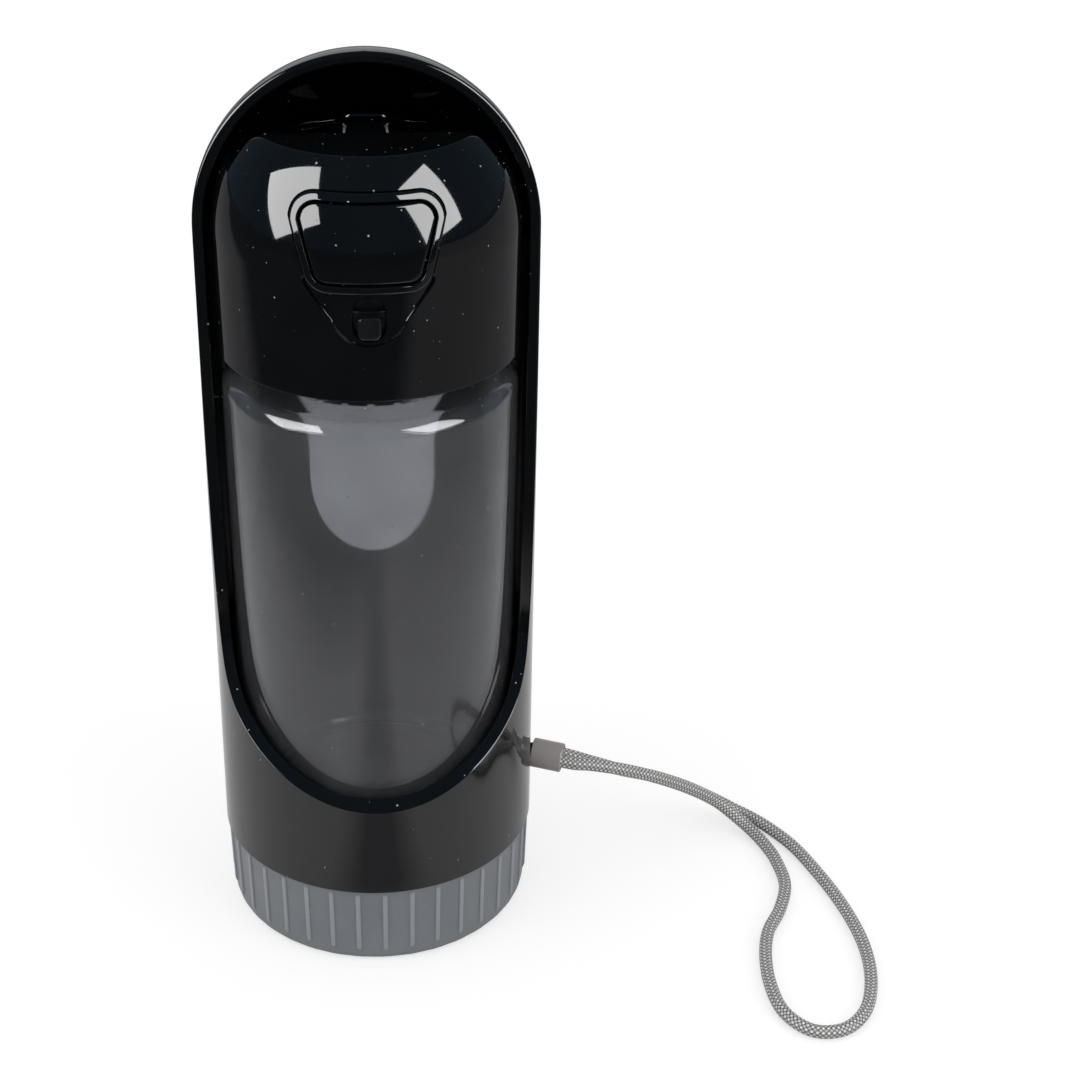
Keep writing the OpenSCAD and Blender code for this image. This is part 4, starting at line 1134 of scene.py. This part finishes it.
def raised(tree, skin, height, strength, relief=RELIEF):
    """Low relief on the shader's Normal."""
    bump = add_node(tree, "Bump", [("Height", height), ("Strength", strength), ("Distance", relief)])
    feed(tree, skin["Normal"], bump.outputs["Normal"])


def moulded(name, colour, shade, clean, worn, deep, dusty=0.05, grain=2600.0):
    """Plastic or rubber: colour to shade in soft clouds, marks, mould grain this deep, and dust."""
    material, tree, skin, place = new_finish(name)
    wall = place_group(tree, grain_group, [("Place", place["Object"]), ("Cells", grain)])
    body = blend_colour(tree, wall["Tone"], (*colour, 1), (*shade, 1))
    dusted(tree, skin, place, dusty, body, handled(tree, place, clean, worn), 0.8)
    raised(tree, skin, wall["Height"], deep)
    skin["IOR"].default_value = 1.53
    return material


# %% [markdown]
# The head, shell, button and spout are the same gloss black, with a cold tinge in the photograph. Inner
# parts are satin black. The base is a satin grey, and the ferrule a warmer grey. Rubber is rougher than
# any plastic, and the silicone seals are pale and milky. One function makes them all, because they differ
# in their values only: the colours were matched to the picture's patches one by one.

# %% Plastics and rubbers
finishes = {
    "shell_black": moulded("gloss black", (0.0016, 0.0018, 0.0021), (0.0026, 0.0029, 0.0034), 0.03, 0.10,
                           dusty=0.2, grain=RIPPLE_CELLS, deep=0.012),
    "base_grey": moulded("satin grey", (0.158, 0.170, 0.186), (0.176, 0.188, 0.205), 0.34, 0.52,
                         deep=0.22),
    "inner_black": moulded("satin black", (0.005, 0.0052, 0.0056), (0.008, 0.0083, 0.0088), 0.16, 0.32,
                           deep=0.15),
    "seal_black": moulded("black rubber", (0.014, 0.014, 0.015), (0.020, 0.020, 0.021), 0.62, 0.8,
                          deep=0.3),
    "seal_clear": moulded("milky silicone", (0.56, 0.58, 0.60), (0.63, 0.65, 0.67), 0.4, 0.6, deep=0.2),
    "seal_red": moulded("red rubber", (0.23, 0.026, 0.022), (0.28, 0.034, 0.028), 0.5, 0.7, deep=0.25),
    "stem_grey": moulded("grey acetal", (0.43, 0.44, 0.46), (0.47, 0.48, 0.50), 0.3, 0.45, deep=0.12),
    "crank_white": moulded("white acetal", (0.57, 0.57, 0.56), (0.63, 0.63, 0.62), 0.3, 0.45, deep=0.12),
    "ferrule_grey": moulded("warm grey", (0.285, 0.258, 0.256), (0.325, 0.296, 0.294), 0.3, 0.46,
                            dusty=0.03, deep=0.16),
}
for part in ("seal_clear", "crank_white", "stem_grey"):
    milky = finishes[part].node_tree.nodes["Principled BSDF"].inputs
    milky["Subsurface Weight"].default_value = 0.15
    milky["Subsurface Radius"].default_value = (0.002, 0.002, 0.002)
print("moulded finishes", len(finishes))

# %% [markdown]
# The crests of the base's ribs catch the light, so they carry a painted highlight: a paler grey. The crests
# could be a second material on the faces, with a hard border. Here the material finds them by itself: a
# crest is where the surface stands out past the cup's wall, which grows wider from the foot up.

# %% Painted highlight on the crests of the base's ribs
WALL_AT_FOOT, WALL_TAPER = 0.03656, 0.03     # metres, and metres out for each metre up
CREST_FROM, CREST_FULL = 0.00012, 0.00038    # metres out of the wall
CREST_HIGHLIGHT_GREY = (0.27, 0.285, 0.305, 1)

base_tree = finishes["base_grey"].node_tree
base_skin = base_tree.nodes["Principled BSDF"].inputs
base_spot = add_node(base_tree, "TexCoord").outputs["Object"]
height_at = add_node(base_tree, "SeparateXYZ", [("Vector", base_spot)]).outputs["Z"]
level_spot = add_node(base_tree, "VectorMath", [(0, base_spot), (1, (1, 1, 0))], operation="MULTIPLY")
radius = add_node(base_tree, "VectorMath", [(0, level_spot.outputs[0])], operation="LENGTH").outputs["Value"]
wall_there = maths(base_tree, "MULTIPLY_ADD", height_at, WALL_TAPER, WALL_AT_FOOT)
# Painted highlight: the grey turns paler where the surface stands out past the wall.
crest_highlight = fade(base_tree, maths(base_tree, "SUBTRACT", radius, wall_there), CREST_FROM, CREST_FULL)
crest_highlight = maths(base_tree, "MULTIPLY", crest_highlight, fade(base_tree, height_at, 0.0207, 0.0204))
plain_grey = base_skin["Base Color"].links[0].from_socket
feed(base_tree, base_skin["Base Color"], blend_colour(base_tree, crest_highlight, plain_grey, CREST_HIGHLIGHT_GREY))
print("base finish", len(base_tree.nodes), "nodes")

# %% [markdown]
# ## Smoked bottle
# The bottle is a clear plastic with a grey dye, and it lets the white behind it through at its middle only.
# A see-through colour alone looks like thin film. Transmission with a real wall, and a small share of
# milky body, gives the bright window in the middle and dark sides.

# %% Smoked clear plastic
def smoked():
    """Dyed clear plastic with marks and a little dust."""
    material, tree, skin, place = new_finish("smoked clear")
    wall = place_group(tree, grain_group, [("Place", place["Object"]), ("Cells", RIPPLE_CELLS)])
    body = blend_colour(tree, wall["Tone"], (0.40, 0.41, 0.43, 1), (0.44, 0.45, 0.47, 1))
    dusted(tree, skin, place, 0.06, body, handled(tree, place, 0.03, 0.13), 0.7)
    skin["Transmission Weight"].default_value = 0.95
    skin["IOR"].default_value = 1.49
    return material


finishes["smoked_clear"] = smoked()

# %% [markdown]
# Spring, screws and the crank's pin are drawn or turned steel. Their marks run along one direction, so the
# noise is squeezed until it becomes fine lines.

# %% Drawn steel
def drawn_steel():
    """Bright steel with fine lines and a little tarnish."""
    material, tree, skin, place = new_finish("drawn steel")
    laid = add_node(tree, "Mapping", [("Vector", place["Object"]), ("Scale", (260, 260, 5200))])
    streak = add_node(tree, "TexNoise", [("Vector", laid.outputs[0]), ("Scale", 1.0), ("Detail", 3.0)])
    bright, tarnished = (0.66, 0.66, 0.68, 1), (0.50, 0.50, 0.52, 1)
    feed(tree, skin["Base Color"], blend_colour(tree, streak.outputs[0], bright, tarnished))
    feed(tree, skin["Roughness"], handled(tree, place, 0.2, 0.4))
    raised(tree, skin, streak.outputs[0], 0.1)
    skin["Metallic"].default_value = 1.0
    return material


finishes["spring_steel"] = drawn_steel()

# %% [markdown]
# ## Braided cord
# The cord is a tube of silver-grey yarn, braided eight strands each way, with painted shade in the gap where
# two strands cross and a painted highlight on the strand that lies on top. The strands stand out in the mesh
# already.
# The material follows the same spiral on the cord's own UV map, so that the gaps and the twist of each yarn
# lie on the strands.

# %% Braid pattern
braid_group, given, result = new_group(
    "braid", [("UV", "Vector"), ("Strands", "Float"), ("Turns", "Float")],
    [("Strand", "Float"), ("Yarn", "Float")])
spot = add_node(braid_group, "SeparateXYZ", [("Vector", given["UV"])]).outputs
along = maths(braid_group, "MULTIPLY", spot["Y"], given["Turns"])
spirals = [maths(braid_group, "MULTIPLY", maths(braid_group, sign, spot["X"], along), given["Strands"])
           for sign in ("ADD", "SUBTRACT")]
ridges = [maths(braid_group, "ABSOLUTE", maths(braid_group, "SINE", maths(braid_group, "MULTIPLY", s, pi)))
          for s in spirals]
both = maths(braid_group, "MULTIPLY", *ridges)
steps_round = maths(braid_group, "ADD", *(maths(braid_group, "FLOOR", s) for s in spirals))
on_top = maths(braid_group, "PINGPONG", steps_round, 1.0)
# Painted light and shade: the strand on top is paler, and the share falls to the gap's dark between strands.
pick_highlight = maths(braid_group, "MULTIPLY_ADD", on_top, 0.45, 0.55)
strand = maths(braid_group, "MULTIPLY", fade(braid_group, both, 0.08, 0.8), pick_highlight)
feed(braid_group, result["Strand"], strand)
laid = add_node(braid_group, "CombineXYZ", [("X", maths(braid_group, "MULTIPLY", spirals[0], 9.0)),
                                            ("Y", maths(braid_group, "MULTIPLY", spirals[1], 3.0))])
twist = add_node(braid_group, "TexNoise", [("Vector", laid.outputs[0]), ("Scale", 1.0), ("Detail", 3.0)])
feed(braid_group, result["Yarn"], fade(braid_group, twist.outputs[0], 0.3, 0.7))
print("group", braid_group.name, len(braid_group.nodes), "nodes")


# %% Silver cord
def braided():
    """Silver-grey yarn with painted shade in the gaps and painted highlights on the strands on top."""
    material, tree, skin, place = new_finish("silver braid")
    braid = place_group(tree, braid_group, [("UV", place["UV"]), ("Strands", float(BRAID_TURNS)),
                                            ("Turns", cord_length / BRAID_PITCH)])
    # The gap's dark grey is painted shade between the strands.
    gap, dull, bright = (0.09, 0.088, 0.086, 1), (0.66, 0.65, 0.645, 1), (0.93, 0.92, 0.91, 1)
    yarn = blend_colour(tree, braid["Yarn"], dull, bright)
    feed(tree, skin["Base Color"], blend_colour(tree, braid["Strand"], gap, yarn))
    feed(tree, skin["Roughness"], fade(tree, braid["Yarn"], 0.0, 1.0, 0.55, 0.35))
    height = maths(tree, "MULTIPLY_ADD", braid["Yarn"], 0.3, braid["Strand"])
    raised(tree, skin, height, 0.5, 2 * RELIEF)
    skin["Sheen Weight"].default_value = 0.2
    return material


finishes["cord_silver"] = braided()

# %% [markdown]
# ## Dressing
# Each CAD node's slot is in the record, and most new pieces are gloss black. A material could be given as
# each piece is made, but then a CAD node that stays would be easy to miss. So every mesh in the scene is
# dressed here in one pass, before the floor exists.

# %% Every piece and node takes its finish
worn_by = {"wrist_cord": "cord_silver", "lock_knob": "inner_black", "slot_key": "inner_black",
           "bottle_body": "smoked_clear", "base_body": "base_grey", "ferrule": "ferrule_grey"}
slot_of = {row["node"]: row["material_slot"] for row in frame["record"]["subparts"]}
for item in list(bpy.context.scene.objects):
    if item.type != "MESH":
        continue
    part_slot = slot_of.get(item.name) or worn_by.get(item.name, "shell_black")
    if not item.material_slots:
        item.data.materials.append(None)
    for place_on in item.material_slots:
        place_on.material = finishes[part_slot]

# %% [markdown]
# ## Light
# A black gloss part shows the studio more than itself, so the lights are placed by their reflections. The
# head shows two soft boxes, one on each side and above. Each is an area light, turned to the head, whose
# edges lie where the reflections were measured. In the picture the boxes are far brighter in the gloss than
# the colours around them allow. So each box is made twice: a mild one that lights colours as they are
# written, and a bright one that only reflections and clear plastic see. The bright one stands nearer and
# is smaller, because of two lights in one plane a reflection shows only one.

# %% Soft boxes
HEAD_MIDDLE = Vector((0, 0, 0.176))
MILD, SHINE = 1.2, 10.5      # radiance
SHINE_AT = 0.9               # share of the mild box's distance and size
BOX_UP = 26                  # degrees
BOXES = (("left", -63, 0.72, 0.74, radians(33)), ("right", 52, 0.62, 0.78, radians(14)))


def towards(turned, lifted):
    """Direction from the head: degrees from the front towards +X, and degrees up."""
    t, r = radians(turned), radians(lifted)
    return Vector((sin(t) * cos(r), -cos(t) * cos(r), sin(r)))


def soft_box(name, turned, wide, tall, tilt, far, radiance):
    """A rectangle of light that looks at the head from a direction and a distance in metres."""
    lamp = bpy.data.lights.new(name, "AREA")
    lamp.shape, lamp.size, lamp.size_y = "RECTANGLE", wide, tall
    lamp.energy = pi * wide * tall * radiance
    box = bpy.data.objects.new(name, lamp)
    away = towards(turned, BOX_UP)
    box.matrix_world = (Matrix.Translation(HEAD_MIDDLE + away * far)
                        @ away.to_track_quat("Z", "Y").to_matrix().to_4x4() @ Matrix.Rotation(tilt, 4, "Z"))
    box.visible_camera = False
    bpy.context.scene.collection.objects.link(box)
    return box


for name, turned, wide, tall, tilt in BOXES:
    mild = soft_box(name + " box", turned, wide, tall, tilt, 1.0, MILD)
    mild.visible_glossy = False
    shine = soft_box(name + " shine", turned, SHINE_AT * wide, SHINE_AT * tall, tilt, SHINE_AT, SHINE)
    shine.visible_diffuse = False
print("soft boxes", len(BOXES), "each with its shine")

# %% [markdown]
# The background is plain white for the camera and through the clear bottle. In a mirror-like surface the
# backdrop stands behind the object at half strength, and the room in front of it is dim, as the picture's
# gloss shows them. For all other light the world is even, so that each colour shows about as it is written.

# %% World
world = bpy.data.worlds.new("studio")
bpy.context.scene.world = world
world.use_nodes = True
room = world.node_tree
room.nodes.clear()
ray = add_node(room, "LightPath").outputs
sight = add_node(room, "SeparateXYZ", [("Vector", add_node(room, "TexCoord").outputs["Generated"])]).outputs
WHITE, EVEN, BACKDROP = (1, 1, 1, 1), (0.86, 0.86, 0.86, 1), (0.5, 0.5, 0.5, 1)
DIM_ABOVE, DIM_BELOW = (0.065, 0.10, 0.135, 1), (0.05, 0.06, 0.075, 1)
dim = blend_colour(room, fade(room, sight["Z"], -0.01, 0.01), DIM_BELOW, DIM_ABOVE)
behind = maths(room, "MULTIPLY", fade(room, sight["Y"], 0.75, 0.92), fade(room, sight["Z"], 0.5, 0.3))
studio = blend_colour(room, behind, dim, BACKDROP)
direct = maths(room, "MAXIMUM", ray["Is Camera Ray"], ray["Is Transmission Ray"])
seen = blend_colour(room, direct, EVEN, WHITE)
air = add_node(room, "Background", [("Color", blend_colour(room, ray["Is Glossy Ray"], seen, studio))])
room.links.new(air.outputs[0], add_node(room, "OutputWorld").inputs["Surface"])
print("world", len(room.nodes), "nodes")

# %% [markdown]
# The floor is plain and white. For the camera it glows a little, so that it runs into the white background
# and still takes the soft shadow under the object. In a reflection it carries painted light and shade:
# painted brightness beside the bottle, a painted shadow straight in front and painted dimness to the front
# and left, which gives the black gloss its depth.

# %% Floor
floor_mesh = bmesh.new()
bmesh.ops.create_grid(floor_mesh, x_segments=1, y_segments=1, size=4)
floor_data = bpy.data.meshes.new("floor")
floor_mesh.to_mesh(floor_data)
floor_mesh.free()
floor = bpy.data.objects.new("floor", floor_data)
bpy.context.scene.collection.objects.link(floor)
print("floor", floor.name)

# %% What the camera sees of the floor, and what other rays do
GLOW = 0.63
UNDER_EVEN, BRIGHT, MIDDLE = (0.55, 0.55, 0.55, 1), (0.84, 0.84, 0.85, 1), (0.24, 0.24, 0.25, 1)
SHADED, DARK = (0.33, 0.33, 0.35, 1), (0.05, 0.06, 0.07, 1)

table = bpy.data.materials.new("white table")
table.use_nodes = True
top = table.node_tree
top.nodes.clear()
ray = add_node(top, "LightPath").outputs
place = add_node(top, "TexCoord").outputs["Object"]
spot = add_node(top, "SeparateXYZ", [("Vector", place)]).outputs
flecks = add_node(top, "TexNoise", [("Vector", place), ("Scale", 300.0)])
pale = blend_colour(top, flecks.outputs[0], (0.425, 0.425, 0.425, 1), (0.415, 0.415, 0.415, 1))
lit = add_node(top, "BsdfDiffuse", [("Color", pale)])
glow = add_node(top, "Emission", [("Color", WHITE), ("Strength", GLOW)])
bright = top.nodes.new("ShaderNodeAddShader")
top.links.new(lit.outputs[0], bright.inputs[0])
top.links.new(glow.outputs[0], bright.inputs[1])

# Painted light and shade for reflections only: a painted shadow straight in front, painted dimness far to
# the front and left, and brightness that fades away from the bottle.
ahead_left = maths(top, "MULTIPLY_ADD", spot["X"], -0.57, maths(top, "MULTIPLY", spot["Y"], -0.82))
painted_dim_front = fade(top, ahead_left, 0.15, 0.23)
narrow = fade(top, maths(top, "ABSOLUTE", spot["X"]), 0.035, 0.012)
painted_shadow_ahead = maths(top, "MULTIPLY", narrow, fade(top, spot["Y"], -0.04, -0.07))
away = add_node(top, "VectorMath", [(0, place)], operation="LENGTH").outputs["Value"]
beside = blend_colour(top, fade(top, away, 0.15, 0.31), BRIGHT, MIDDLE)
near = blend_colour(top, painted_shadow_ahead, beside, SHADED)
painted_reflection_colour = blend_colour(top, painted_dim_front, near, DARK)
plain_colour = blend_colour(top, ray["Is Glossy Ray"], UNDER_EVEN, painted_reflection_colour)
plain = add_node(top, "BsdfDiffuse", [("Color", plain_colour)])
choice = top.nodes.new("ShaderNodeMixShader")
feed(top, choice.inputs[0], maths(top, "MAXIMUM", ray["Is Camera Ray"], ray["Is Transmission Ray"]))
top.links.new(plain.outputs[0], choice.inputs[1])
top.links.new(bright.outputs[0], choice.inputs[2])
top.links.new(choice.outputs[0], add_node(top, "OutputMaterial").inputs["Surface"])
floor_data.materials.append(table)
print("table", len(top.nodes), "nodes")

# %% [markdown]
# ## The end
# Nothing that Blender adds may make the object larger than its CAD model. The two could be compared by eye,
# but a tenth of a millimetre doesn't show. Here the scene is only brought up to date.

# %% The end
bpy.context.view_layer.update()
